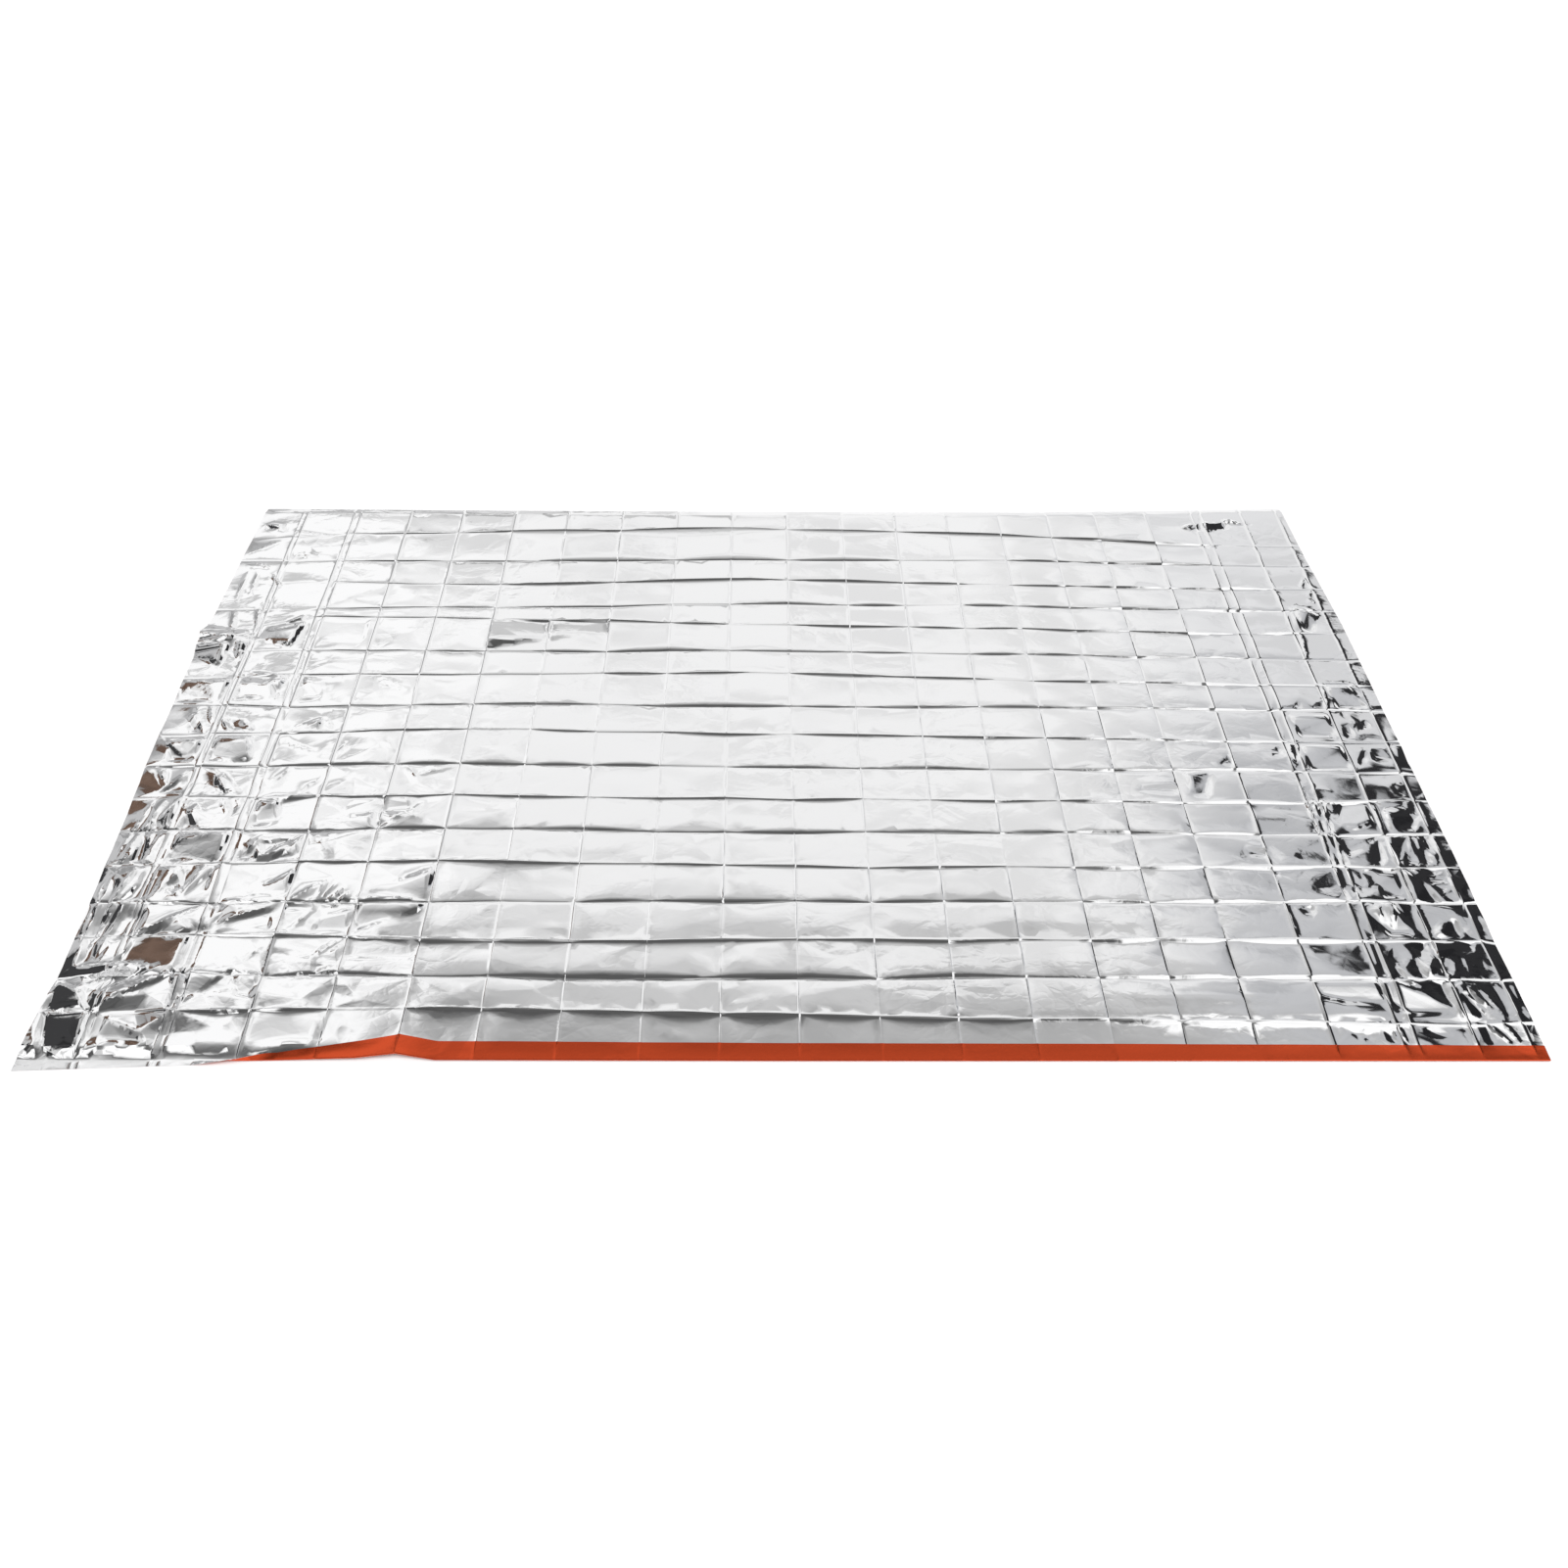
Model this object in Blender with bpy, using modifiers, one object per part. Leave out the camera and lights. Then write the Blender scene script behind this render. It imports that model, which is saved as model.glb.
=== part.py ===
"""Emergency foil blanket: one sheet of metallised film spread out flat, silver side up.

The sheet keeps the creases of its folded packet: rows across the depth that are ridges and valleys in
turn, and columns across the width. A narrow flap along the front is turned up over the silver side, so
that the orange reverse shows there; at the left end it has opened out again. The scene is in metres,
+Z up, with X along the width and Y from front to back. The sizes and tables below are in millimetres,
measured from the left end of the front fold, and become metres where the mesh's points are placed.
"""

import math
import random

import bmesh
import bpy
from mathutils import Matrix, Vector

MM = 0.001

# Driving sizes
WIDTH = 2100
THICKNESS = 1.0
PANEL_RISE = 2.5  # how far a panel lies above the floor between its creases
PILLOW = 2.5  # how much higher its middle is than its column creases
FOLD_RADIUS = 1.7  # of the sheet's underside round the front fold
SHORTEST_FLAP = 7.5

# The grid lines that each kind of crease has: how far behind the crease each lies, and its own kind.
# A floor line lies flat on the surface, so a valley touches it along a narrow band.
LINES_OF = {
    "ridge": ((-13, "panel"), (0, "ridge"), (13, "panel")),
    "valley": ((-16, "panel"), (-4, "floor"), (4, "floor"), (16, "panel")),
}

COLUMN_CREASES = (
    81, 190, 301, 409, 518, 626, 738, 852, 962, 1073, 1186, 1296, 1401, 1508, 1609, 1707, 1813, 1912, 2010,
)

# Each row crease: its kind, then at every station along the width its distance from the front fold and,
# for a ridge, its height above the panels.
STATIONS = (0, 200, 520, 1000, 1500, 1900, 2100)
ROW_CREASES = (
    # kind      distance at the stations                      height at the stations
    ("ridge", (74, 75, 81, 70, 63, 55, 56), (3, 3, 6, 5, 3, 3, 4)),
    ("valley", (130, 138, 131, 127, 130, 127, 127), None),
    ("ridge", (200, 206, 197, 195, 197, 193, 192), (4, 3, 4, 5, 4, 3, 4)),
    ("valley", (262, 261, 265, 263, 263, 265, 262), None),
    ("ridge", (334, 338, 343, 333, 330, 331, 328), (4, 4, 6, 3, 3, 3, 5)),
    ("valley", (402, 403, 407, 399, 399, 395, 394), None),
    ("ridge", (473, 474, 479, 471, 467, 462, 466), (3, 3, 4, 4, 3, 4, 5)),
    ("valley", (540, 542, 550, 539, 535, 531, 525), None),
    ("ridge", (615, 621, 630, 617, 607, 598, 598), (4, 3, 4, 3, 3, 4, 5)),
    ("valley", (688, 683, 691, 683, 682, 674, 674), None),
    ("ridge", (757, 767, 765, 773, 751, 737, 734), (4, 5, 3, 4, 3, 4, 4)),
    ("valley", (826, 829, 826, 829, 819, 806, 802), None),
    ("ridge", (878, 925, 919, 903, 890, 874, 876), (9, 8, 9, 4, 3, 3, 4)),
    ("valley", (944, 950, 950, 961, 954, 941, 940), None),
    ("ridge", (1020, 1027, 1019, 1034, 1019, 1006, 1002), (2, 2, 3, 4, 3, 3, 3)),
    ("valley", (1090, 1093, 1093, 1097, 1093, 1077, 1071), None),
    ("ridge", (1160, 1181, 1187, 1197, 1177, 1143, 1138), (3, 3, 5, 7, 4, 3, 3)),
)

# The cut edges: how far each runs outside its straight line
LEFT_EDGE = ((0, 1), (150, -6), (300, -2), (450, 3), (600, 9), (800, 12), (875, 18), (915, 10), (1270, 2))
RIGHT_EDGE = ((0, 0), (200, 2), (400, 5), (640, 6), (900, 8), (1010, 4), (1100, 0), (1270, -2))
FAR_EDGE = ((0, 1270), (500, 1264), (1000, 1260), (1560, 1257), (1900, 1264), (2100, 1270))

# Along the width: how far the front fold runs back, how far it lifts, the flap's own width, and how far
# the flap has turned over, where 1 is folded flat on the silver side and 0 lies open in front.
FRONT_FOLD = (
    # x    back  lift  flap  turned
    (0, 0, 0, 16, 0.0),
    (240, 0, 0, 7, 0.0),
    (301, 0, 0, 7, 0.5),
    (355, 1, 0, 13, 1.0),
    (463, 3, 3, 28, 1.0),
    (518, 8, 6, 34, 1.0),
    (572, 1, 1, 31, 1.0),
    (1040, 0, 0, 29, 1.0),
    (1500, 0, 0, 28, 1.0),
    (2100, 0, 0, 25, 1.0),
)
FLAP_STEPS_ROUND = 3
FLAP_STEPS_BACK = 2

# How crumpled the sheet is along its width: the height and the sideways play of its loose points
CRUMPLE = (
    # x    height  play
    (0, 5.0, 7.0),
    (200, 4.0, 6.0),
    (420, 2.0, 4.0),
    (620, 0.8, 1.5),
    (1500, 0.6, 1.5),
    (1800, 2.0, 3.0),
    (1920, 4.0, 5.0),
    (2100, 5.0, 6.0),
)
CRUMPLE_SEED = 41

# Single folds and bumps that stand out of the grid: middle, half lengths, turn and height
BUMPS = (
    # x     y   along across  turn  height
    (10, 868, 90, 32, -8, 12),  # the left edge is lifted here
    (110, 112, 85, 18, 38, 7),
    (1962, 102, 70, 20, -40, 8),
    (1950, 1208, 70, 24, 12, 5),
    (30, 1205, 34, 20, -10, 4),
    (620, 900, 150, 26, 0, 3),
    (45, 300, 20, 120, 4, 7),
    (2045, 420, 26, 110, -3, 6),
    (1730, 505, 60, 24, 12, 4),
)


def along(table, place, column=1):
    """A table's column at a place, read along straight lines between its rows."""
    for low, high in zip(table, table[1:]):
        if place <= high[0]:
            break
    share = (place - low[0]) / (high[0] - low[0])
    return low[column] + (high[column] - low[column]) * share


def at_stations(values, place):
    return along(tuple(zip(STATIONS, values)), place)


def column_lines():
    """The grid's places along the width: every crease, and the middle of every panel."""
    creases = [0, *COLUMN_CREASES, WIDTH]
    lines = [(0, "edge")]
    for low, high in zip(creases, creases[1:]):
        lines.append(((low + high) / 2, "middle"))
        lines.append((high, "crease" if high < WIDTH else "edge"))
    return lines


def row_lines():
    """The grid's lines from front to back: the creases and the lines beside them."""
    lines = [(None, 0, "front")]
    for crease in ROW_CREASES:
        lines += [(crease, behind, kind) for behind, kind in LINES_OF[crease[0]]]
    return [*lines, (None, 0, "far")]


def bump_height(x, y):
    """The height that the single folds and bumps add."""
    total = 0.0
    for middle_x, middle_y, half_along, half_across, turn, height in BUMPS:
        a = math.radians(turn)
        across_x = (x - middle_x) * math.cos(a) + (y - middle_y) * math.sin(a)
        across_y = (y - middle_y) * math.cos(a) - (x - middle_x) * math.sin(a)
        off = math.hypot(across_x / half_along, across_y / half_across)
        total += height * max(0.0, 1 - off)
    return total


def sheet_point(x, column, line, loose):
    """The underside's point where a column and a row line cross."""
    crease, behind, kind = line
    if kind == "front":
        y, z = along(FRONT_FOLD, x, 1), along(FRONT_FOLD, x, 2)
    elif kind == "far":
        y, z = along(FAR_EDGE, x), 0.0
    else:
        y = at_stations(crease[1], x) + behind
        z = 0.0 if kind == "floor" else PANEL_RISE
    if kind == "ridge":
        z += at_stations(crease[2], x)
    if kind in ("ridge", "panel") and column == "middle":
        z += PILLOW
    if column != "edge" and kind in ("ridge", "panel"):
        play = along(CRUMPLE, x, 2)
        x, y = x + play * loose.uniform(-1, 1), y + 0.5 * play * loose.uniform(-1, 1)
        z += along(CRUMPLE, x, 1) * loose.uniform(-0.5, 1)
    if kind not in ("front", "floor"):
        z += bump_height(x, y)
    if column == "edge":
        x = -along(LEFT_EDGE, y) if x < WIDTH / 2 else x + along(RIGHT_EDGE, y)
    return Vector((x, y, max(z, 0.0)))


def flap_points(front, next_row):
    """The underside's points from the front fold to the flap's cut edge, for one column of the grid."""
    turn = math.pi * along(FRONT_FOLD, front.x, 4)
    bend = FOLD_RADIUS * turn
    straight = max(along(FRONT_FOLD, front.x, 3), SHORTEST_FLAP) - bend
    slope = (next_row.z - front.z) / (next_row.y - front.y)
    ways = [(step / FLAP_STEPS_ROUND, 0) for step in range(1, FLAP_STEPS_ROUND + 1)]
    ways += [(1, straight * step / FLAP_STEPS_BACK) for step in range(1, FLAP_STEPS_BACK + 1)]
    if not turn:
        flat_steps = len(ways)
        return [front - Vector((0, straight * step / flat_steps, 0)) for step in range(1, flat_steps + 1)]
    points = []
    for share, past_bend in ways:
        ahead = FOLD_RADIUS * math.sin(turn * share) + past_bend * math.cos(turn)
        up = FOLD_RADIUS * (1 - math.cos(turn * share)) + past_bend * math.sin(turn)
        points.append(front + Vector((0, -ahead, up + slope * max(-ahead, 0))))
    return points


def film_material():
    material = bpy.data.materials.new("silver film")
    material.use_nodes = True
    shader = material.node_tree.nodes["Principled BSDF"]
    shader.inputs["Base Color"].default_value = (0.82, 0.83, 0.84, 1)
    shader.inputs["Metallic"].default_value = 1.0
    shader.inputs["Roughness"].default_value = 0.12
    return material


def foil_sheet(collection):
    """The whole blanket: its creased underside as a grid of faces, thickened upwards."""
    loose = random.Random(CRUMPLE_SEED)
    columns, rows = column_lines(), row_lines()
    grid = [[sheet_point(x, kind, line, loose) for x, kind in columns] for line in rows]
    flap = [flap_points(front, behind) for front, behind in zip(grid[0], grid[1])]
    strips = [list(strip) for strip in zip(*flap)]
    grid = strips[::-1] + grid

    mesh_builder = bmesh.new()
    bmesh.ops.create_grid(mesh_builder, x_segments=len(columns) - 1, y_segments=len(grid) - 1, size=0.5)
    mesh_builder.verts.sort(key=lambda v: len(grid) * 2 * v.co.y + v.co.x)
    flat_grid = [point for row in grid for point in row]
    for vert, point in zip(mesh_builder.verts, flat_grid):
        vert.co = point * MM
    mesh = bpy.data.meshes.new("foil_sheet")
    mesh_builder.to_mesh(mesh)
    mesh_builder.free()

    sheet = bpy.data.objects.new("foil_sheet", mesh)
    collection.objects.link(sheet)
    mesh.materials.append(film_material())
    shell = sheet.modifiers.new("film thickness", "SOLIDIFY")
    shell.thickness = THICKNESS * MM
    shell.offset = 1
    return sheet


def centre_on_floor(sheet):
    """Moves the sheet's own points so that the origin is under the middle of its box."""
    bpy.context.view_layer.update()
    whole = sheet.evaluated_get(bpy.context.evaluated_depsgraph_get())
    corners = [Vector(corner) for corner in whole.bound_box]
    low = Vector(min(c[i] for c in corners) for i in range(3))
    high = Vector(max(c[i] for c in corners) for i in range(3))
    middle = (low + high) / 2
    sheet.data.transform(Matrix.Translation((-middle.x, -middle.y, -low.z)))


def main():
    for old in list(bpy.data.objects):
        bpy.data.objects.remove(old)
    collection = bpy.data.collections.new("emergency foil blanket")
    bpy.context.scene.collection.children.link(collection)
    centre_on_floor(foil_sheet(collection))


main()
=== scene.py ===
"""Emergency foil blanket: the looks of its one creased sheet, with the floor, light and camera around it.

The blanket is a thin film, silver on top and orange underneath, spread out flat. It keeps the creases of
its folded packet: ROW_CREASES run along its width and COLUMN_CREASES run from front to back. Its front
edge is turned up as a narrow flap, which shows the orange side. All sizes on the sheet are in
millimetres, measured from the left end of the front fold: x along the width, y towards the back and z up
from the floor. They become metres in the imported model's frame where the mesh is made.
"""

import math
import random

import bpy
import numpy as np
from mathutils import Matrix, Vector


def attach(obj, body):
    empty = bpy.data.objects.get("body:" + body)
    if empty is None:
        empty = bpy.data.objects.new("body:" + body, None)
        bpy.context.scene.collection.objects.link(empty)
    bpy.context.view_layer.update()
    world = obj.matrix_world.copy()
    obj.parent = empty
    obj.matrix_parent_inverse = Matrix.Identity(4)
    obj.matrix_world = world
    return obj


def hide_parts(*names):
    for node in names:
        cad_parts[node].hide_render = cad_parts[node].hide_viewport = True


bl_info = {
    "name": "Emergency Foil Blanket",
    "version": (1, 0, 0),
    "blender": (4, 5, 0),
    "location": "View3D > Sidebar > Foil Blanket",
    "description": "Builds a creased foil blanket, spread out flat in a pale studio",
    "category": "Add Mesh",
}

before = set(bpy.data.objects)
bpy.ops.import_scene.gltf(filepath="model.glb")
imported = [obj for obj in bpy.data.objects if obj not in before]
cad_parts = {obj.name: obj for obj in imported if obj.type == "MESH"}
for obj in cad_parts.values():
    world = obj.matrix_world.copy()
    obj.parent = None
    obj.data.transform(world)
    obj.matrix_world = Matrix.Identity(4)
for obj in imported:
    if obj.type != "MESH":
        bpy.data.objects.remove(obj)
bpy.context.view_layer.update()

MM = 0.001
WIDTH = 2100
ORIGIN = (1045.26, 627.0)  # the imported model's origin, on the sheet

# ---------------------------------------------------------------- creases

# Every column crease: its place, its height, which is below zero for a groove, and how far its sides reach
COLUMN_CREASES = (
    # x    height reach
    (77, 0.35, 1.6),
    (87, 0.3, 1.6),
    (183, 0.5, 1.6),
    (197, 0.35, 1.6),
    (301, 0.7, 1.8),
    (409, 0.7, 1.8),
    (518, 0.8, 1.8),
    (626, 0.5, 2.0),
    (738, 0.6, 2.0),
    (852, 0.48, 2.0),
    (962, 0.56, 2.0),
    (1073, 0.48, 2.0),
    (1186, 0.48, 2.0),
    (1296, 0.45, 2.0),
    (1401, 0.4, 2.0),
    (1508, -0.32, 1.4),
    (1609, -0.32, 1.4),
    (1707, -0.32, 1.4),
    (1813, 0.6, 1.8),
    (1908, 0.6, 1.8),
    (1928, 0.6, 1.8),
    (2010, 0.6, 1.8),
    (2084, 0.5, 1.8),
)

# Every row crease: its kind, and how far behind the front fold it lies at the stations. Its dark side
# faces the front: a ridge's near side, a valley's far side.
STATIONS = (0, 200, 520, 1000, 1500, 1900, 2100)
ROW_CREASES = (
    ("ridge", (74, 75, 81, 70, 63, 55, 56)),
    ("valley", (130, 138, 131, 127, 130, 127, 127)),
    ("ridge", (200, 206, 197, 195, 197, 193, 192)),
    ("valley", (262, 261, 265, 263, 263, 265, 262)),
    ("ridge", (334, 338, 343, 333, 330, 331, 328)),
    ("valley", (402, 403, 407, 399, 399, 395, 394)),
    ("ridge", (473, 474, 479, 471, 467, 462, 466)),
    ("valley", (540, 542, 550, 539, 535, 531, 525)),
    ("ridge", (615, 621, 630, 617, 607, 598, 598)),
    ("valley", (688, 683, 691, 683, 682, 674, 674)),
    ("ridge", (757, 767, 765, 773, 751, 737, 734)),
    ("valley", (826, 829, 826, 829, 819, 806, 802)),
    ("ridge", (878, 925, 919, 903, 890, 874, 876)),
    ("valley", (944, 950, 950, 961, 954, 941, 940)),
    ("ridge", (1020, 1027, 1019, 1034, 1019, 1006, 1002)),
    ("valley", (1090, 1093, 1093, 1097, 1093, 1077, 1071)),
    ("ridge", (1160, 1181, 1187, 1197, 1177, 1143, 1138)),
)
KINK = 2.2  # how far a row crease strays at a column
# The sharp line of every row crease: its height, how far its dark side and its other side reach, and the
# least and the most of its height that it has at a column
CREASE_LINE = (0.8, 4.5, 3.5)
LINE_STRENGTHS = (0.35, 1.25)
FIRST_FAINT = 12  # from this crease on the line keeps a share of its height, along the width:
FAINT = ((0, 0.45), (480, 0.45), (640, 1.0), (2100, 0.8))
# In the stretches that stand out: how far the other side reaches, how far a side reaches at least, and how
# pointed the ends are
OTHER_SIDE, SHORTEST_SIDE, STRETCH_POINT = 6.0, 0.1, 0.8
COLUMN_REACH = 0.8  # the share of its reach in which a column crease falls to about a third
COLUMN_STRENGTHS = (0.5, 1.3)  # the least and the most of its height that a column crease has in a row
PANEL_RISE = ((0, 3.2), (600, 3.8), (1270, 5.2))  # how far a panel lies above the floor between creases
PILLOW = 0.4  # how much higher its middle is
# How much higher the first creases lie than the others, by their numbers, where 0 is the front fold
LEVELS = ((0, 0.0), (1, 0.0), (2, 0.3), (3, -0.6), (4, 0.3), (5, 0.0))
LOWEST = 0.2  # the underside's height above the floor where the film lies on it

# The stretches of the row creases that stand out, pointed at both ends. For every crease, from the front:
# from where to where each runs, its height in the middle, and how far its dark side reaches there
STRETCHES = (
    ((518, 640, 3.2, 24), (626, 745, 3.4, 22), (738, 860, 2, 16), (852, 970, 2.8, 20), (962, 1080, 3, 22),
     (1073, 1190, 2.2, 18), (1186, 1300, 2.4, 18), (1296, 1401, 1.8, 14), (1508, 1620, 2, 10),
     (1600, 1720, 2.2, 11), (1700, 1830, 2.2, 11), (1813, 1925, 2.4, 12), (200, 310, 2.6, 14),
     (301, 412, 2.4, 14)),
    ((600, 975, 3.8, 17), (900, 1200, 3.6, 15), (1180, 1401, 2.8, 12), (1500, 1720, 1.7, 8),
     (1700, 1925, 1.9, 9), (190, 300, 2.2, 12), (300, 520, 2, 10)),
    ((420, 640, 3.2, 13), (600, 760, 2.6, 12), (700, 1100, 2.2, 13), (1073, 1440, 2, 12),
     (1490, 1620, 2.2, 10), (1600, 1720, 2.4, 11), (1700, 1925, 2.4, 11), (190, 410, 2, 10),
     (400, 520, 2.2, 11)),
    ((740, 860, 1.6, 9), (852, 1080, 2.1, 12), (1073, 1190, 1.4, 9), (1186, 1300, 1.6, 9),
     (1296, 1401, 1.3, 8), (1500, 1620, 1.7, 7), (1600, 1820, 1.9, 8), (1800, 1925, 1.9, 8),
     (196, 301, 2.2, 11), (300, 520, 1.8, 9)),
    ((518, 740, 2.4, 20), (852, 970, 1.6, 10), (962, 1190, 1.4, 9), (1186, 1401, 1.4, 8),
     (1500, 1620, 2, 10), (1600, 1720, 2.2, 10), (1700, 1920, 1.9, 9), (300, 412, 2.2, 11),
     (405, 520, 2.6, 13)),
    ((626, 860, 2.1, 10), (962, 1186, 2.2, 11), (1186, 1401, 1.6, 8), (1401, 1508, 1.8, 8),
     (1500, 1720, 1.7, 8), (1707, 1820, 1.7, 7), (196, 412, 1.8, 9), (405, 520, 2.4, 11)),
    ((520, 740, 1.6, 9), (738, 1073, 1.4, 7), (1060, 1186, 2.1, 12), (1296, 1508, 1.4, 8),
     (1500, 1620, 1.9, 8), (1600, 1720, 1.7, 7), (1700, 1910, 2, 9), (190, 310, 2.4, 11), (300, 520, 2, 9)),
    ((510, 640, 2.4, 14), (626, 738, 1.8, 9), (738, 860, 2.1, 10), (962, 1186, 1.4, 7),
     (1186, 1401, 1.8, 8), (1500, 1720, 1.9, 7), (1700, 1920, 1.7, 7), (190, 412, 2, 10),
     (409, 520, 2.4, 11)),
    ((626, 738, 1.4, 7), (852, 1040, 2.1, 10), (1073, 1296, 1.9, 9), (1280, 1508, 2.1, 10),
     (1500, 1620, 2, 8), (1600, 1820, 1.9, 7), (1800, 1920, 1.7, 7), (190, 301, 1.2, 6), (301, 520, 1.4, 7)),
    ((510, 735, 1.8, 8), (795, 1090, 2.7, 13), (1080, 1190, 1.4, 6), (1200, 1401, 1.9, 8),
     (1390, 1545, 2.2, 9), (1540, 1720, 2, 8), (1700, 1920, 1.9, 7), (190, 412, 1.1, 4), (405, 520, 0.9, 4)),
    ((735, 852, 2.2, 10), (852, 1000, 1.9, 9), (1073, 1260, 2.6, 11), (1250, 1440, 1.8, 8),
     (1500, 1720, 2, 8), (1700, 1910, 2, 8), (190, 301, 1.1, 5), (301, 520, 1, 4)),
    ((600, 740, 1.6, 9), (730, 935, 2.9, 15), (960, 1186, 1.3, 6), (1186, 1300, 1.4, 6),
     (1401, 1500, 1.8, 8), (1500, 1610, 1.9, 7), (1600, 1820, 1.9, 7), (1800, 1920, 1.7, 6),
     (190, 412, 0.9, 4), (409, 520, 1, 4)),
    ((626, 860, 2.2, 10), (852, 962, 2.1, 9), (1080, 1300, 2.4, 10), (1296, 1401, 1.9, 8),
     (1420, 1508, 1.4, 7), (1500, 1720, 2.2, 9), (1700, 1900, 2.4, 10), (1940, 2030, 2.2, 8),
     (180, 301, 1.1, 6), (295, 412, 1.1, 6), (405, 520, 1.1, 6)),
    ((560, 852, 1.1, 6), (962, 1180, 2.4, 9), (1186, 1290, 2.4, 10), (1401, 1508, 2.1, 8),
     (1500, 1660, 1.7, 6), (1650, 1820, 2.4, 10), (1820, 1980, 2.4, 10), (190, 412, 0.8, 4),
     (409, 520, 1, 4)),
    ((520, 740, 3, 12), (726, 1073, 3.4, 14), (1073, 1310, 3, 12), (1296, 1420, 2.4, 10),
     (1500, 1650, 2, 8), (1640, 1830, 2.7, 10), (1820, 2010, 2.7, 10), (190, 412, 0.8, 4), (405, 540, 1, 4)),
    ((580, 852, 3.6, 20), (840, 1080, 3.8, 22), (1073, 1296, 3.2, 17), (1500, 1650, 2, 7),
     (1630, 1920, 2.9, 10), (200, 412, 1, 4), (409, 560, 1, 4)),
    ((480, 740, 4.2, 26), (700, 1073, 5, 34), (1073, 1296, 3.4, 22), (1296, 1610, 3.2, 16),
     (1600, 1760, 3.2, 14), (1700, 1930, 3.4, 14), (190, 412, 1.2, 5), (409, 520, 1.4, 7)),
)

# ---------------------------------------------------------------- outline

# The cut edges: how far each side runs outside its straight line, and how far back the far edge lies
LEFT_EDGE = ((0, 1), (150, -6), (300, -2), (450, 3), (600, 9), (800, 12), (875, 18), (915, 10), (1270, 2))
RIGHT_EDGE = ((0, 0), (200, 2), (400, 5), (640, 6), (900, 8), (1010, 4), (1100, 0), (1270, -2))
FAR_EDGE = ((0, 1270), (500, 1264), (1000, 1260), (1560, 1257), (1900, 1264), (2100, 1270))
FAR_FALL = 18  # how far in front of it the film begins to come down
FAR_HEIGHT = 0.25  # how much of its height the film keeps there

# Along the width: how far the front fold runs back, how far it lifts, the flap's own width, and how far
# the flap has turned over, where 1 is folded flat on the silver side and 0 lies open in front
FRONT_FOLD = (
    # x    back  lift  flap  turned
    (0, 0, 0, 16, 0.0),
    (240, 0, 0, 7, 0.0),
    (301, 0, 0, 7, 0.5),
    (355, 1, 0, 13, 1.0),
    (463, 3, 3, 28, 1.0),
    (518, 8, 6, 34, 1.0),
    (572, 1, 1, 31, 1.0),
    (1040, 0, 0, 29, 1.0),
    (1500, 0, 0, 28, 1.0),
    (2100, 0, 0, 25, 1.0),
)
FOLD_RADIUS = 1.3  # of the film's underside round the front fold
OPEN_TURN = 0.05  # below this angle, in radians, the flap lies open in front
OPEN_BEND = 0.4  # the share of its width that the rows of the bend then take
SHORTEST_FLAP = 2.0  # from the fold's bend to the flap's cut edge
# Behind the front fold the creases and crumples grow to their height over a share of the flap's width, or
# over the shortest length if that is longer, by a power
FLAP_COVER, SHORTEST_COVER, COVER_POWER = 0.8, 6, 1.5
# How far behind the front fold the sheet has risen to the height of its panels
FRONT_RAMP = ((0, 20), (480, 20), (560, 70), (2100, 70))
# How high the column creases stand on the flap
FLAP_RIDGES = ((0, 0.4), (1450, 0.4), (1800, 0.1), (2100, 0.1))

# ---------------------------------------------------------------- crumples

# How crumpled the sheet is along its width: how far the corners and middles of its cells play up and
# down, and how high the small folds at the corners of the cells are
CRUMPLE = (
    # x    play folds
    (0, 3.0, 0.5),
    (200, 2.6, 0.5),
    (420, 1.8, 0.5),
    (540, 1.0, 0.5),
    (700, 0.6, 0.5),
    (1500, 0.45, 0.4),
    (1850, 0.5, 0.4),
    (1915, 1.2, 0.4),
    (2100, 1.1, 0.3),
)
# What is left of the crumples at a distance from the front fold, and of the facets at the far edge
CALMER = ((0, 1.0), (450, 1.0), (650, 0.6), (850, 0.35), (1270, 0.25))
FAR_CALM = 0.3
# The sides of the cells that crumple as one: the column creases, where a close pair counts as one
CELL_SIDES = (
    0, 82, 190, 301, 409, 518, 626, 738, 852, 962, 1073, 1186, 1296, 1401, 1508, 1609, 1707, 1813, 1918, 2010,
    WIDTH,
)
# Where a cell's facets meet, in shares of its sides, and how high, in shares of its play
FACET_MIDDLES = (0.25, 0.75)
FACET_PEAKS = (-0.6, 1.4)
# Small folds that start at every corner of a cell: how many, where each starts and ends, how much flatter
# its way lies than a ring round the corner, and how far its sides reach
CORNER_FOLDS = 3
CORNER_STARTS, CORNER_ENDS = (1, 8), (14, 46)
CORNER_FLATNESS = 0.7
CORNER_REACHES = (2.5, 6)
# Small folds at loose places: how far back they lie, how long half of one is as a share of the longest,
# and how far its sides reach
LOOSE_DEPTHS = (10, 1255)
LOOSE_HALVES = (0.2, 0.5)
LOOSE_REACHES = (2.5, 12)
# How many lie between two places along the width, how high and long they are, and how many degrees they
# slant at most
LOOSE_FOLDS = (
    # from to  count height longest slant
    (0, 90, 45, 0.8, 70, 80),
    (80, 300, 45, 0.7, 80, 60),
    (280, 560, 50, 0.7, 90, 50),
    (540, 1250, 110, 0.7, 80, 35),
    (1200, 1920, 90, 0.6, 70, 35),
    (1900, 2100, 35, 0.5, 60, 80),
)

WEAKEST_FOLD = 0.3  # a small fold has from this share of its height to all of it
DENT = -0.5  # a small fold at a loose place that goes down is this much of one that goes up

FOLD_POINT = 0.7  # how pointed the ends of a fold are
FOLD_END = 6  # how many of its reaches away a fold has faded out
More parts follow.
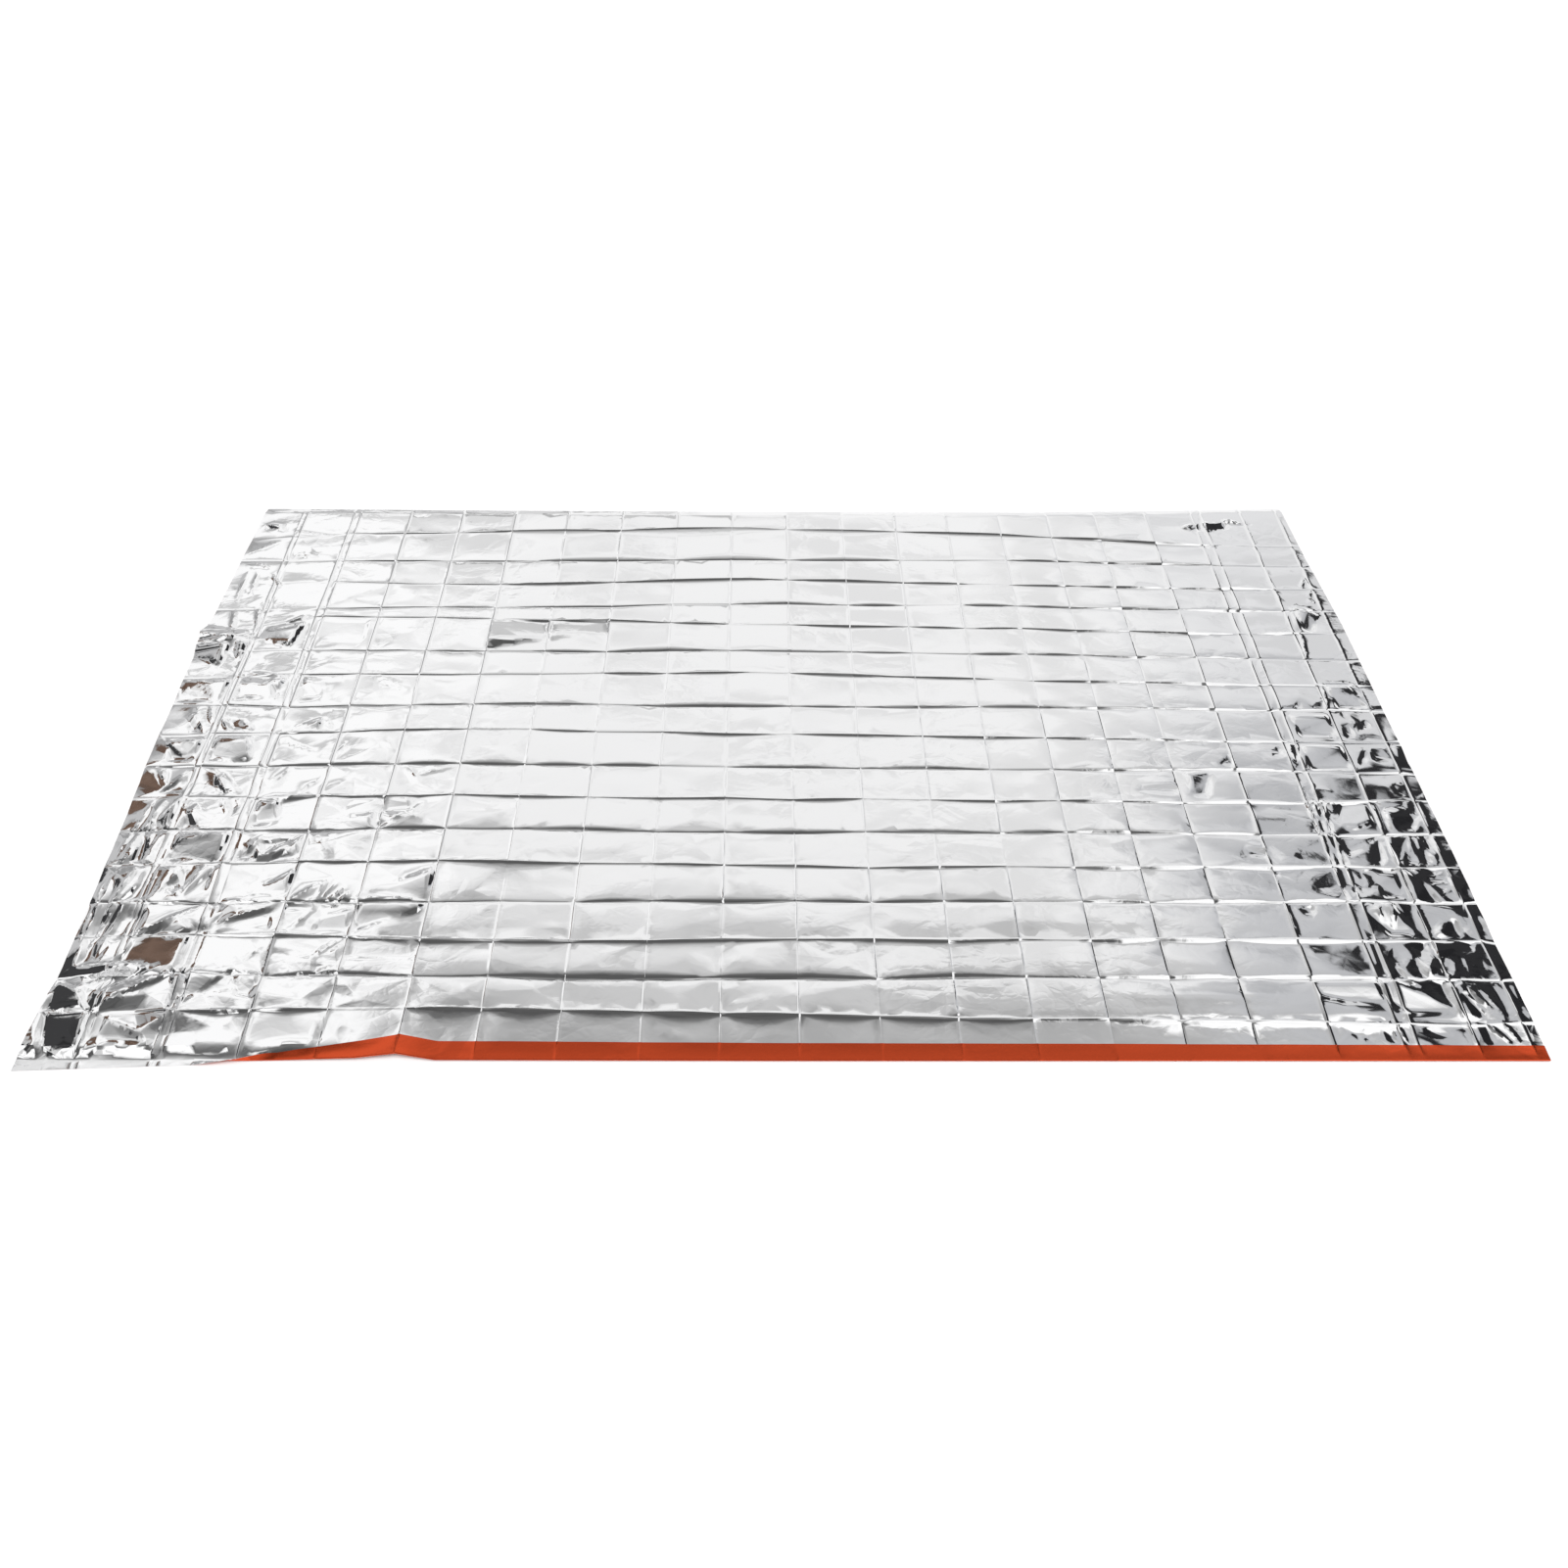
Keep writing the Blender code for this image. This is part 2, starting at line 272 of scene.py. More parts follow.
# Single folds: x and y of one end, x and y of the other, height, and how far the side on the left of that
# way and the side on the right of it reach
FOLDS = (
    (72, 72, 172, 150, 4.2, 5, 11), (60, 92, 150, 152, 2.1, 3.5, 4), (40, 110, 128, 158, 1.8, 3.5, 3.5),
    (12, 150, 22, 330, 2.1, 3.5, 4), (30, 165, 30, 300, -1.8, 3.5, 3.5), (46, 160, 64, 330, 2.4, 4, 4),
    (20, 330, 52, 470, 2.1, 4, 3.5), (64, 335, 40, 455, 1.8, 3.5, 5), (100, 210, 178, 262, 1.8, 4, 3),
    (88, 262, 128, 330, 2.1, 7, 4), (128, 276, 160, 334, 2.1, 4, 8.5), (200, 268, 300, 262, 2.1, 2, 7),
    (205, 228, 290, 258, 1.7, 7, 3), (312, 205, 350, 258, 1.3, 4, 5.5), (300, 262, 345, 300, 1.4, 3.5, 5.5),
    (345, 268, 352, 305, 1.7, 2, 2), (352, 270, 372, 302, 1.5, 2, 2), (360, 268, 392, 292, 1.5, 2, 2),
    (372, 252, 396, 282, 2.2, 3, 3), (400, 275, 516, 266, 2.1, 2, 11), (330, 165, 402, 150, 1.5, 4, 8.5),
    (360, 160, 405, 200, 1.3, 5.5, 4), (212, 150, 290, 140, 1, 2, 7), (210, 355, 232, 395, 1.4, 4, 5.5),
    (232, 392, 290, 350, 1.4, 7, 3.5), (310, 395, 350, 350, 1.1, 5, 5), (350, 380, 405, 372, 1, 3.5, 6.5),
    (405, 440, 478, 432, 1.7, 3, 8.5), (440, 520, 514, 545, 1.7, 7, 3), (430, 545, 460, 505, 1.1, 4, 4),
    (455, 440, 470, 465, 1.3, 3, 3.5), (208, 500, 240, 545, 1.3, 5, 4), (210, 450, 268, 480, 1.1, 3, 5.5),
    (262, 480, 298, 520, 1.1, 5.5, 3.5), (196, 605, 272, 572, 1.4, 3, 8.5),
    (212, 628, 262, 656, 1.5, 3, 10), (262, 656, 285, 632, 1.1, 3, 3), (303, 570, 318, 592, 1.3, 3, 4),
    (378, 608, 404, 575, 1, 3.5, 5.5), (304, 700, 318, 708, 1.1, 2, 3), (340, 758, 398, 726, 1.5, 3.5, 7),
    (200, 762, 245, 700, 1, 8.5, 5.5), (0, 612, 60, 560, 1.4, 5.5, 4), (35, 690, 70, 612, 1.5, 5.5, 4),
    (60, 690, 74, 640, 1.7, 3, 4), (86, 655, 110, 622, 1.8, 3.5, 4), (120, 650, 150, 626, 1.3, 3.5, 5),
    (105, 540, 150, 478, 2, 4, 8.5), (120, 500, 172, 482, 1.7, 5.5, 5.5), (20, 545, 48, 490, 1.8, 4, 4),
    (50, 500, 66, 520, 1.4, 3.5, 3.5), (92, 452, 130, 400, 1.4, 7, 4), (140, 470, 172, 425, 1.7, 4, 5.5),
    (100, 380, 175, 395, 1, 5.5, 4), (105, 345, 170, 338, 1.1, 2, 6.5), (30, 945, 45, 870, 2.1, 3.5, 3),
    (68, 958, 80, 890, 1.8, 2, 3), (130, 905, 165, 925, 2, 3.5, 3), (20, 1090, 60, 1065, 1.7, 2, 2),
    (10, 1078, 55, 1072, 1.5, 2, 2), (22, 1060, 26, 960, 1.3, 3, 3), (40, 1060, 46, 980, 1.1, 3, 3),
    (66, 1050, 95, 1010, 1.8, 2, 3), (12, 1212, 58, 1192, 2.1, 3.5, 5.5), (70, 1190, 160, 1172, 1.3, 2, 4),
    (0, 1110, 60, 1155, 1.1, 3.5, 3.5), (95, 1115, 165, 1108, 1.5, 3, 4), (10, 1250, 150, 1262, 0.8, 4, 4),
    (30, 4, 180, 8, 1.1, 1.5, 2), (60, 14, 190, 18, 1.3, 2, 2), (90, -4, 240, -2, 0.8, 1.5, 1.5),
    (180, 8, 300, 4, 1.1, 1.5, 2), (4, 0, 26, 38, 1.4, 5.5, 2),
    # between the rows on the left end
    (6, 160, 14, 330, 1.7, 2, 2), (24, 150, 40, 250, 1.8, 2, 2), (34, 240, 52, 335, 1.8, 2, 2),
    (10, 340, 34, 470, 1.7, 2, 2),
    # on the right end
    (1913, 60, 1912, 132, 1.1, 1.5, 1.5), (1912, 540, 1918, 600, 1.3, 1.5, 2),
    (1926, 560, 1932, 605, 1.2, 1.5, 1.5), (2008, 20, 2006, 128, 1.3, 1.5, 2),
    (2018, 122, 2044, 62, 1.3, 1.5, 2), (2030, 118, 2052, 74, 1.2, 1.5, 2),
    (2044, 122, 2060, 80, 1.1, 1.5, 3), (2034, 60, 2058, 24, 1.2, 1.5, 2), (2056, 62, 2070, 26, 1.2, 2, 2),
    (1952, 262, 1948, 222, 1.2, 1.5, 3), (1974, 262, 1962, 216, 1.2, 2, 3),
    (1896, 66, 1904, 22, 1.1, 1.5, 1.5), (1908, 58, 1914, 24, 1, 1.5, 1.5), (1866, 50, 1850, 26, 0.9, 2, 2),
    (2008, 200, 2007, 262, 1.2, 1.5, 1.5), (2009, 266, 2008, 330, 1.3, 1.5, 2),
    (2009, 334, 2010, 398, 1.3, 1.5, 2), (2010, 402, 2013, 466, 1.2, 1.5, 2),
    (2082, 332, 2084, 396, 1.3, 1.5, 3), (2080, 266, 2082, 328, 1.2, 1.5, 2),
    (2086, 402, 2088, 470, 1.3, 1.5, 3), (2012, 800, 2024, 886, 1.5, 1.5, 3),
    (2023, 884, 2026, 952, 1.5, 1.5, 3.5), (2028, 956, 2078, 936, 1.3, 1.5, 3.5),
    (2011, 676, 2020, 748, 1.5, 2, 2), (2020, 746, 2070, 744, 1.3, 1.5, 3),
    (2068, 744, 2082, 728, 1.2, 1.5, 3), (2062, 1003, 2080, 1040, 1.1, 2, 2),
    (2080, 1040, 2083, 1003, 1, 1.5, 1.5), (2083, 1003, 2068, 980, 1.1, 1.5, 2),
    (2066, 978, 2077, 960, 1, 1.5, 2), (1816, 200, 1814, 262, 1, 1.5, 2),
)

# Bumps: middle, half lengths, turn in degrees, height
BUMPS = (
    # x     y   along across turn height
    (10, 868, 90, 32, -8, 7),
    (110, 112, 85, 18, 38, 3),
    (1650, 102, 150, 24, -1, 1.4),
    (45, 300, 20, 120, 4, 1.5),
    (2045, 420, 26, 110, -3, 0.4),
)

# Flat patches of a panel that lean: the corners, anticlockwise, and the part of the room that the patch
# mirrors to someone who stands in the middle of the front: how far it is from overhead towards the back
# and towards the right, in degrees
VIEWER = (1015, -794, 1465)  # that person's eye
PATCHES = (
    # the near left corner
    (((32, 2), (79, 2), (76, 73), (6, 73), (16, 30)), 26, -48),
    (((4, 75), (72, 75), (50, 106), (4, 128)), 26, -48),
    (((8, 131), (60, 128), (152, 152), (8, 154)), 26, -48),
    (((73, 64), (84, 22), (104, 28), (101, 68)), 25, -32),
    (((101, 26), (140, 19), (172, 26), (105, 64)), 21, -33),
    (((98, 3), (190, 3), (190, 15), (98, 13)), 16, -33),
    (((92, 92), (130, 104), (168, 136), (168, 144)), 24.7, -33),
    (((190, 96), (240, 128), (196, 132)), 21.2, -30),
    (((306, 18), (398, 24), (400, 66), (306, 68)), 25.7, -24),
    (((180, 78), (194, 78), (186, 146), (168, 146)), 22, -30),
    (((198, 88), (240, 128), (250, 142), (190, 144)), 23.3, -30),
    (((268, 102), (296, 96), (297, 140), (258, 142)), 22.9, -29),
    (((200, 4), (290, 8), (290, 15), (205, 20)), 20, -28),
    (((402, 28), (412, 28), (408, 70), (400, 68)), 21, -24),
    (((418, 60), (440, 28), (470, 38), (450, 45)), 21, -24),
    # behind it
    (((80, 152), (120, 144), (172, 150), (174, 203), (92, 198)), 35.5, -39),
    (((20, 150), (50, 148), (66, 194), (24, 196)), 35.5, -39),
    (((106, 202), (168, 210), (176, 216), (150, 232)), 22, -33),
    (((92, 202), (160, 244), (180, 262), (95, 262)), 43, -30),
    (((50, 262), (98, 272), (115, 330), (88, 330), (60, 290)), 35.5, -39),
    (((120, 325), (136, 278), (162, 335)), 35.5, -39),
    (((144, 276), (176, 276), (172, 332), (164, 318)), 43, -30),
    (((102, 296), (126, 280), (134, 290), (120, 318)), 24.3, -33),
    (((38, 340), (60, 335), (66, 398), (40, 395)), 35.5, -39),
    (((92, 342), (172, 340), (175, 396), (95, 396)), 22.2, -34),
    (((92, 405), (150, 410), (105, 455), (92, 440)), 23.3, -34),
    (((152, 472), (168, 428), (176, 470)), 35.5, -39),
    (((20, 405), (36, 405), (34, 445), (22, 445)), 35.5, -39),
    (((44, 405), (76, 405), (76, 472), (60, 440)), 26, -45),
    (((250, 340), (296, 345), (292, 390)), 22, -28),
    (((200, 342), (235, 345), (220, 385), (202, 372)), 24, -29),
    (((240, 350), (282, 388), (228, 380)), 46, -26),
    (((226, 274), (298, 276), (298, 325)), 23.6, -28),
    (((202, 225), (250, 258), (210, 260)), 21, -29),
    (((210, 214), (290, 216), (285, 250), (240, 236)), 34, -27),
    (((302, 262), (302, 248), (350, 248), (345, 272)), 20, -26),
    (((350, 210), (404, 210), (406, 252), (362, 240)), 24, -25),
    (((412, 212), (508, 246), (508, 262), (412, 262)), 23.6, -22),
    (((412, 274), (514, 270), (514, 328), (440, 292)), 22, -22),
    (((302, 165), (360, 162), (345, 174), (302, 176)), 22, -26),
    (((364, 160), (372, 140), (404, 150), (404, 188)), 20, -25),
    (((412, 165), (512, 160), (512, 194), (410, 194)), 24.6, -21),
    (((304, 410), (398, 406), (395, 440), (330, 425)), 24, -25),
    (((404, 412), (412, 410), (450, 440), (410, 430)), 17, -24),
    (((406, 442), (450, 446), (455, 472), (406, 474)), 23.6, -23),
    (((204, 415), (245, 420), (235, 466), (204, 466)), 24.6, -28),
    # further back on the left
    (((38, 484), (75, 482), (66, 512)), 35.5, -39),
    (((116, 500), (140, 478), (165, 490), (125, 525)), 22.2, -34),
    (((90, 556), (165, 556), (150, 608), (92, 608)), 24.3, -34),
    (((30, 552), (68, 554), (72, 600), (18, 604)), 25, -36),
    (((40, 628), (58, 622), (45, 665), (34, 665)), 24, -36),
    (((90, 652), (112, 627), (150, 627), (130, 650)), 35.5, -39),
    (((212, 624), (262, 624), (260, 654)), 24.6, -29),
    (((0, 696), (70, 696), (74, 748), (0, 750)), 34, -36),
    (((92, 706), (158, 702), (162, 744), (92, 748)), 34, -34),
    (((142, 748), (166, 704), (170, 754)), 22, -33),
    (((206, 702), (246, 706), (240, 744), (204, 756)), 36, -27),
    (((342, 738), (392, 722), (396, 738), (350, 758)), 34, -26),
    (((12, 1204), (20, 1194), (50, 1194), (52, 1208), (22, 1216)), 22.2, -37),
    (((132, 906), (164, 908), (156, 922)), 22.2, -34),
    (((98, 1102), (150, 1106), (112, 1120)), 38, -33),
    # the lifted place on the left edge
    (((-12, 812), (46, 788), (48, 844), (-10, 848)), 38, -49),
    (((-16, 853), (52, 856), (54, 866), (-14, 868)), 38, -49),
    (((62, 868), (158, 842), (168, 902), (102, 888)), 50, -41.5),
    (((58, 852), (70, 788), (76, 790), (74, 850)), 36, -48),
    (((88, 757), (166, 752), (166, 764), (94, 774)), 20, -32),
    (((180, 918), (184, 862), (288, 854), (286, 916)), 50, -27),
    # the long facet left of the middle
    (((516, 842), (624, 859), (624, 913), (516, 915)), 59.5, -14),
    (((628, 860), (736, 880), (736, 912), (628, 913)), 59.5, -12),
    # the near right corner
    (((1905, 122), (1908, 88), (1935, 70), (1998, 70), (1998, 80), (1970, 106), (1930, 127)), 17.5, 28),
    (((1940, 127), (2002, 80), (2002, 125)), 36, 45),
    (((2013, 100), (2014, 62), (2042, 66), (2034, 118)), 36, 46),
    (((2014, 58), (2016, 26), (2036, 24), (2040, 58)), 36, 46),
    (((2002, 126), (2012, 106), (2026, 126)), 46, 32),
    (((2064, 122), (2066, 68), (2077, 68), (2079, 122)), 29, 28),
    (((1938, 47), (1966, 33), (2000, 28), (2002, 47)), 30, 29),
    (((1936, 24), (1998, 24), (1966, 31)), 17, 28),
    (((1814, 98), (1850, 88), (1906, 86), (1904, 124), (1812, 122)), 18.5, 24),
    (((1832, 48), (1850, 30), (1868, 28), (1880, 46)), 30, 27),
    (((1886, 44), (1890, 28), (1900, 26), (1903, 46)), 34, 42),
    (((2087, 68), (2099, 68), (2094, 120), (2087, 120)), 30, 28),
    # behind it, on the right end: between each two row creases, from left to right
    (((1912, 132), (1926, 132), (1926, 192), (1912, 192)), 36, 45),
    (((1931, 132), (1949, 129), (1932, 188)), 36, 45),
    (((1938, 170), (1939, 153), (1951, 149), (1977, 167), (1974, 181), (1951, 187)), 28, 27),
    (((1952, 130), (1980, 130), (1977, 165), (1952, 145)), 36, 44),
    (((1981, 178), (1984, 132), (1999, 153), (2000, 192)), 47, 31),
    (((2006, 165), (2034, 171), (2066, 181), (2074, 192), (2009, 194)), 36, 45),
    (((2003, 132), (2022, 138), (2032, 167), (2004, 161)), 28, 28),
    (((2028, 134), (2040, 134), (2046, 172), (2036, 170)), 36, 46),
    (((2054, 153), (2056, 133), (2071, 131), (2073, 172), (2064, 177)), 36, 46),
    (((2087, 136), (2099, 138), (2097, 168), (2088, 160)), 29, 28),
    (((1914, 200), (1929, 199), (1927, 215), (1914, 218)), 36, 45),
    (((1931, 252), (1934, 237), (1951, 203), (1988, 203), (1990, 216), (1973, 264)), 21, 26),
    (((1977, 263), (1992, 216), (1998, 203), (1998, 263)), 36, 45),
    (((2012, 206), (2057, 231), (2074, 254), (2013, 256)), 29, 28),
    (((2021, 202), (2057, 202), (2061, 233), (2043, 228), (2027, 216)), 36, 46),
    (((2060, 207), (2075, 198), (2070, 231)), 17, 29),
    (((2087, 252), (2088, 206), (2098, 206), (2094, 252)), 36, 47),
    (((2088, 268), (2100, 270), (2098, 296)), 29, 28),
    (((1946, 328), (1963, 320), (2000, 321), (2000, 326)), 36, 44),
    (((1947, 315), (1950, 280), (1962, 301), (1962, 315)), 36, 44),
    (((1966, 271), (1999, 271), (2000, 318), (1967, 320)), 28, 28),
    (((1934, 325), (1936, 284), (1947, 290), (1945, 312)), 28, 27),
    (((2011, 264), (2050, 262), (2040, 297), (2013, 328)), 36, 45),
    (((2022, 328), (2040, 312), (2074, 323)), 36, 46),
    (((2041, 308), (2044, 300), (2079, 301), (2075, 320)), 29, 28),
    (((2046, 297), (2060, 281), (2074, 291)), 17, 30),
    (((2053, 271), (2074, 264), (2061, 278)), 36, 46),
    (((1936, 388), (1940, 353), (1972, 368), (1989, 390)), 28, 27),
    (((1964, 342), (1967, 335), (1986, 334), (1995, 345), (2000, 386), (1986, 384)), 36, 44),
    (((2012, 335), (2017, 335), (2026, 355), (2036, 378), (2033, 393), (2012, 393)), 36, 46),
    (((2021, 335), (2042, 335), (2051, 366), (2048, 391), (2027, 352)), 29, 29),
    (((2053, 336), (2063, 336), (2065, 390), (2053, 388)), 36, 46),
    (((2069, 390), (2070, 340), (2078, 350), (2079, 390)), 47, 32),
    (((1940, 420), (1957, 462), (1941, 465)), 36, 44),
    (((1945, 415), (1968, 405), (2003, 420), (2004, 462), (1961, 462), (1945, 428)), 47, 31),
    (((2024, 405), (2062, 405), (2078, 430), (2062, 446), (2026, 446)), 37, 46),
    (((2022, 465), (2026, 450), (2061, 450), (2061, 465)), 17, 31),
    (((2066, 465), (2067, 445), (2080, 437), (2080, 465)), 37, 46),
    # further back on the right
    (((2056, 500), (2063, 478), (2078, 478), (2078, 505)), 30, 27),
    (((1937, 591), (1938, 534), (2006, 534), (2004, 589)), 30, 27),
    (((1914, 551), (1930, 566), (1931, 591), (1916, 595)), 37, 44),
    (((2021, 560), (2023, 543), (2041, 560), (2046, 589), (2031, 581)), 38, 45),
    (((2049, 559), (2074, 557), (2076, 587), (2050, 589)), 34, 30),
    (((2088, 590), (2090, 545), (2103, 545), (2103, 590)), 38, 47),
    (((1873, 567), (1900, 567), (1900, 592), (1881, 583)), 37, 38),
    (((1774, 548), (1812, 542), (1813, 582)), 37, 36),
    (((1940, 664), (1942, 612), (2005, 612), (2004, 664)), 30, 27),
    (((2041, 619), (2077, 638), (2043, 655)), 38, 44),
    (((2028, 652), (2041, 664), (2034, 669)), 60, 32),
    (((2020, 612), (2038, 612), (2038, 650), (2020, 645)), 34, 30),
    (((1954, 679), (1964, 680), (1979, 723)), 34, 30),
    (((1984, 679), (2009, 678), (2008, 711)), 36, 34),
    (((2024, 734), (2028, 680), (2081, 680), (2066, 734)), 31, 29),
    (((1982, 786), (2000, 783), (2000, 796)), 39, 42),
    (((2031, 885), (2050, 880), (2072, 930), (2031, 950)), 34, 30),
    (((2096, 872), (2102, 862), (2107, 862), (2107, 870)), 39, 44),
    # the pointed facet near the far right corner
    (((1876, 1201), (1890, 1191), (1921, 1188), (1921, 1216), (1894, 1211)), 43, 42.5),
    (((1925, 1189), (1936, 1187), (1972, 1194), (1976, 1211), (1962, 1220), (1925, 1216)), 43, 42.5),
    (((1968, 1228), (1976, 1217), (2005, 1208), (2034, 1206)), 43, 43),
    (((1912, 1131), (1942, 1138), (1948, 1144), (1921, 1142)), 40, 40),
    # strips beside the pair of columns on the right
    (((1908, 267), (1912, 267), (1912, 329), (1908, 329)), 36, 47),
    (((1925, 285), (1930, 280), (1932, 328), (1927, 328)), 36, 47),
    (((1908, 334), (1912, 334), (1914, 396), (1909, 396)), 36, 47),
    (((1918, 334), (1922, 334), (1922, 396), (1917, 396)), 36, 47),
    (((1927, 334), (1932, 334), (1934, 396), (1929, 396)), 36, 47),
    (((1905, 402), (1909, 402), (1911, 464), (1906, 464)), 36, 47),
    (((1915, 402), (1920, 402), (1923, 466), (1917, 466)), 36, 47),
    (((1926, 402), (1932, 402), (1936, 466), (1929, 466)), 36, 47),
    # small facets to the right of the middle
    (((1634, 487), (1680, 483), (1706, 483), (1706, 510), (1688, 512), (1656, 506)), 24, 22),
    (((1724, 476), (1752, 476), (1772, 530), (1724, 530)), 36, 34),
    (((1822, 254), (1828, 242), (1850, 240), (1855, 256)), 34, 40),
    (((1774, 344), (1782, 352), (1784, 374), (1774, 362)), 34, 38),
    (((1786, 354), (1814, 350), (1815, 374), (1788, 378)), 19, 24),
)
PATCH_MARGIN = 3.0  # how far in from its sides a patch has its full lean, or less in a small one:
SMALL_MARGIN = 0.5  # this share of its area by the way round it
SMOOTH_PASSES = 2  # over the patches' heights
CLEARANCE = 0.8  # how far above the floor the low side of a patch stays

# ---------------------------------------------------------------- grid

# How far apart the grid's columns are at most, along the width
GRID_STEP = ((0, 2.9), (420, 3.2), (620, 6.0), (1700, 6.0), (1820, 3.4), (2100, 2.9))
COLUMN_OFFSETS = (-2, -1, -0.4, 0, 0.4, 1, 2)  # at every column crease, in shares of its reach
ROW_OFFSETS = (-12.0, -8.0, -5.0, -2.5, -1.0, 0.0, 1.0, 2.5, 5.0, 8.0, 12.0)  # at every row crease
FIRST_ROW = 3  # behind the front fold
ROWS_BETWEEN = 9  # between the rows of one crease and those of the next
LAST_ROWS = 28  # behind the last crease
FLAP_STEPS_ROUND = 4  # rows round the front fold
FLAP_STEPS_BACK = 4  # and from there to the flap's cut edge
MOST_TRIANGLES = 98000  # on one side of the film
SHARPEST_SMOOTH = math.radians(12)  # the largest angle between faces that is shaded smooth
LOOSE_SEED = 41  # of every random draw

# ---------------------------------------------------------------- finish and studio

# The slopes of the crinkles' facets, and the heights of the finer unevenness in metres
CRINKLE_SIZES = (("Facets", 0.015), ("Small Facets", 0.010), ("Swell", 0.6 * MM), ("Grain", 0.004 * MM))
# The crinkles' facets: how many go to a metre, and how far and how often they are bent out of their grid
FACETS = (16.0, 0.05, 9.0)
SMALL_FACETS = (60.0, 0.02, 30.0)
FACET_STRETCH = (1.0, 1.5, 0.0)  # they are longer along the width
# Noises: how many of their swells go to a metre, and their detail
SWELL_NOISE = (9.0, 1.0)
GRAIN_NOISE = (420.0, 2.0)
CALM_NOISE = (5.0, 2.0)
# The facets' share in calm and in crinkled places, after the calm noise's range; and what comes on top
# towards the ends, after how far out that starts and stops in metres
CALM_SHARES = (0.45, 0.7, 0.12, 1.0)
MORE_AT_ENDS = (0.50, 1.0, 0.0, 0.05)
SILVER_METAL, ORANGE_METAL = 1.0, 0.9
ORANGE_ROUGHNESS = 0.22
# Cards of light and dark round the studio, in degrees: how far to the right of overhead they reach, how
# far towards the back, how soft their edges are, and their colour
CARDS = (
    # left right near far soft colour
    (-52, -19, 25, 68, 10, (1.03, 1.03, 1.03)),
    (-26, -2, 57, 64, 2, (0.62, 0.62, 0.62)),
    (-80, -38.5, 31, 80, 6, (0.56, 0.56, 0.565)),
    (27, 60, 38, 75, 10, (0.80, 0.803, 0.812)),
    (24, 60, 22, 43, 12, (0.56, 0.567, 0.585)),
    (17, 52, -35, 21, 6, (1.15, 1.15, 1.15)),
    (-60, -25, -35, 13, 3, (1.2, 1.2, 1.2)),
    (32.2, 62, 31.8, 41.2, 2.5, (0.03, 0.03, 0.032)),
    (39, 64, 14, 56, 3, (0.03, 0.03, 0.032)),
    (35, 62, 18, 35, 2.5, (0.02, 0.02, 0.022)),
    (-41.5, -35.6, 31, 44, 1.0, (0.19, 0.125, 0.095)),
    (-60, -38, 8, 28, 2, (0.05, 0.05, 0.052)),
    (-60, -44.5, -4, 42, 2, (0.05, 0.05, 0.052)),
)
# The level everywhere else, by the angle from overhead towards the back; the near side is below zero
SKY = (
    (-90, 0.80), (-60, 0.80), (-45, 0.60), (-28, 0.30), (-12, 0.10), (6, 0.11), (14, 0.20), (18, 0.32),
    (22, 0.42), (26, 0.52), (29, 0.61), (31.5, 0.62), (33, 0.80), (34.5, 0.88), (37, 0.91), (44, 0.93),
    (50, 0.94), (57, 0.95), (66, 0.97), (80, 1.0), (90, 1.0),
)
# How the light plays: the size of its patches, how far it falls in them over most of the room and over
# its left side, and between which angles from overhead the one passes into the other
UNEVEN_SPAN = 9.0
UNEVEN_DEPTHS = (0.13, 0.44)
UNEVEN_FROM, UNEVEN_TO = -14.0, -30.0
# The detail of the noise that makes them, and its values where a patch begins and where it is full
UNEVEN_DETAIL = 0.6
UNEVEN_NOISE = (0.46, 0.62)
HORIZON = 0.02  # a direction that is lower than this share of its length counts as this high
FLOOR_SHADE, FLOOR_ROUGHNESS = 0.92, 0.9
LAMP_ANGLE = math.radians(60)  # how wide the lamp is, seen from the floor
# The camera: its place in metres, its tilt up from straight down, its lens and sensor in millimetres, and
# how far its picture is shifted, in shares of the picture
CAMERA_PLACE = (-0.0298, -1.421, 1.465)
CAMERA_TILT = math.radians(90 - 48.4)
CAMERA_LENS, CAMERA_SENSOR, CAMERA_SHIFT = 27.2, 36, 0.0166

# ---------------------------------------------------------------- the sheet's shape


def along(table, places, column=1):
    """A table's column read at many places, along straight lines between its rows."""
    return np.interp(places, [row[0] for row in table], [row[column] for row in table])


def with_gaps_filled(places, widest):
    """The same places, with more put evenly where two stand further apart than the widest gap there."""
    filled = [places[0]]
    for low, high in zip(places, places[1:]):
        steps = max(1, round((high - low) / widest((low + high) / 2)))
        filled += [low + (high - low) * step / steps for step in range(1, steps + 1)]
    return filled


def column_places():
    """The grid's places along the width: close together at a crease, and closer where it is crumpled."""
    places = {0.0, float(WIDTH)}
    for x, _height, reach in COLUMN_CREASES:
        places |= {x + share * reach for share in COLUMN_OFFSETS}
    return np.array(with_gaps_filled(sorted(places), lambda x: float(along(GRID_STEP, x))))


def crease_rows(xs, loose):
    """How far back every row crease lies at every place: straight between columns, a little kinked."""
    columns = [0, *(x for x, _height, _reach in COLUMN_CREASES), WIDTH]
    rows = []
    for _kind, distances in ROW_CREASES:
        kinks = [loose.uniform(-KINK, KINK) for _ in columns]
        rows.append(np.interp(xs, STATIONS, distances) + np.interp(xs, columns, kinks))
    return np.array(rows)


def row_places(xs, creases):
    """The grid's lines from front to back as arrays of y, close together at every crease."""
    front = along(FRONT_FOLD, xs, 1)
    far = along(FAR_EDGE, xs)
    lines = [front, front + FIRST_ROW]
    last = lines[-1]
    for crease in creases:
        group = [crease + off for off in ROW_OFFSETS]
        for step in range(1, ROWS_BETWEEN + 1):
            lines.append(last + (group[0] - last) * step / (ROWS_BETWEEN + 1))
        lines += group
        last = group[-1]
    for step in range(1, LAST_ROWS + 1):
        lines.append(last + (far - last) * step / LAST_ROWS)
    return np.array(lines)


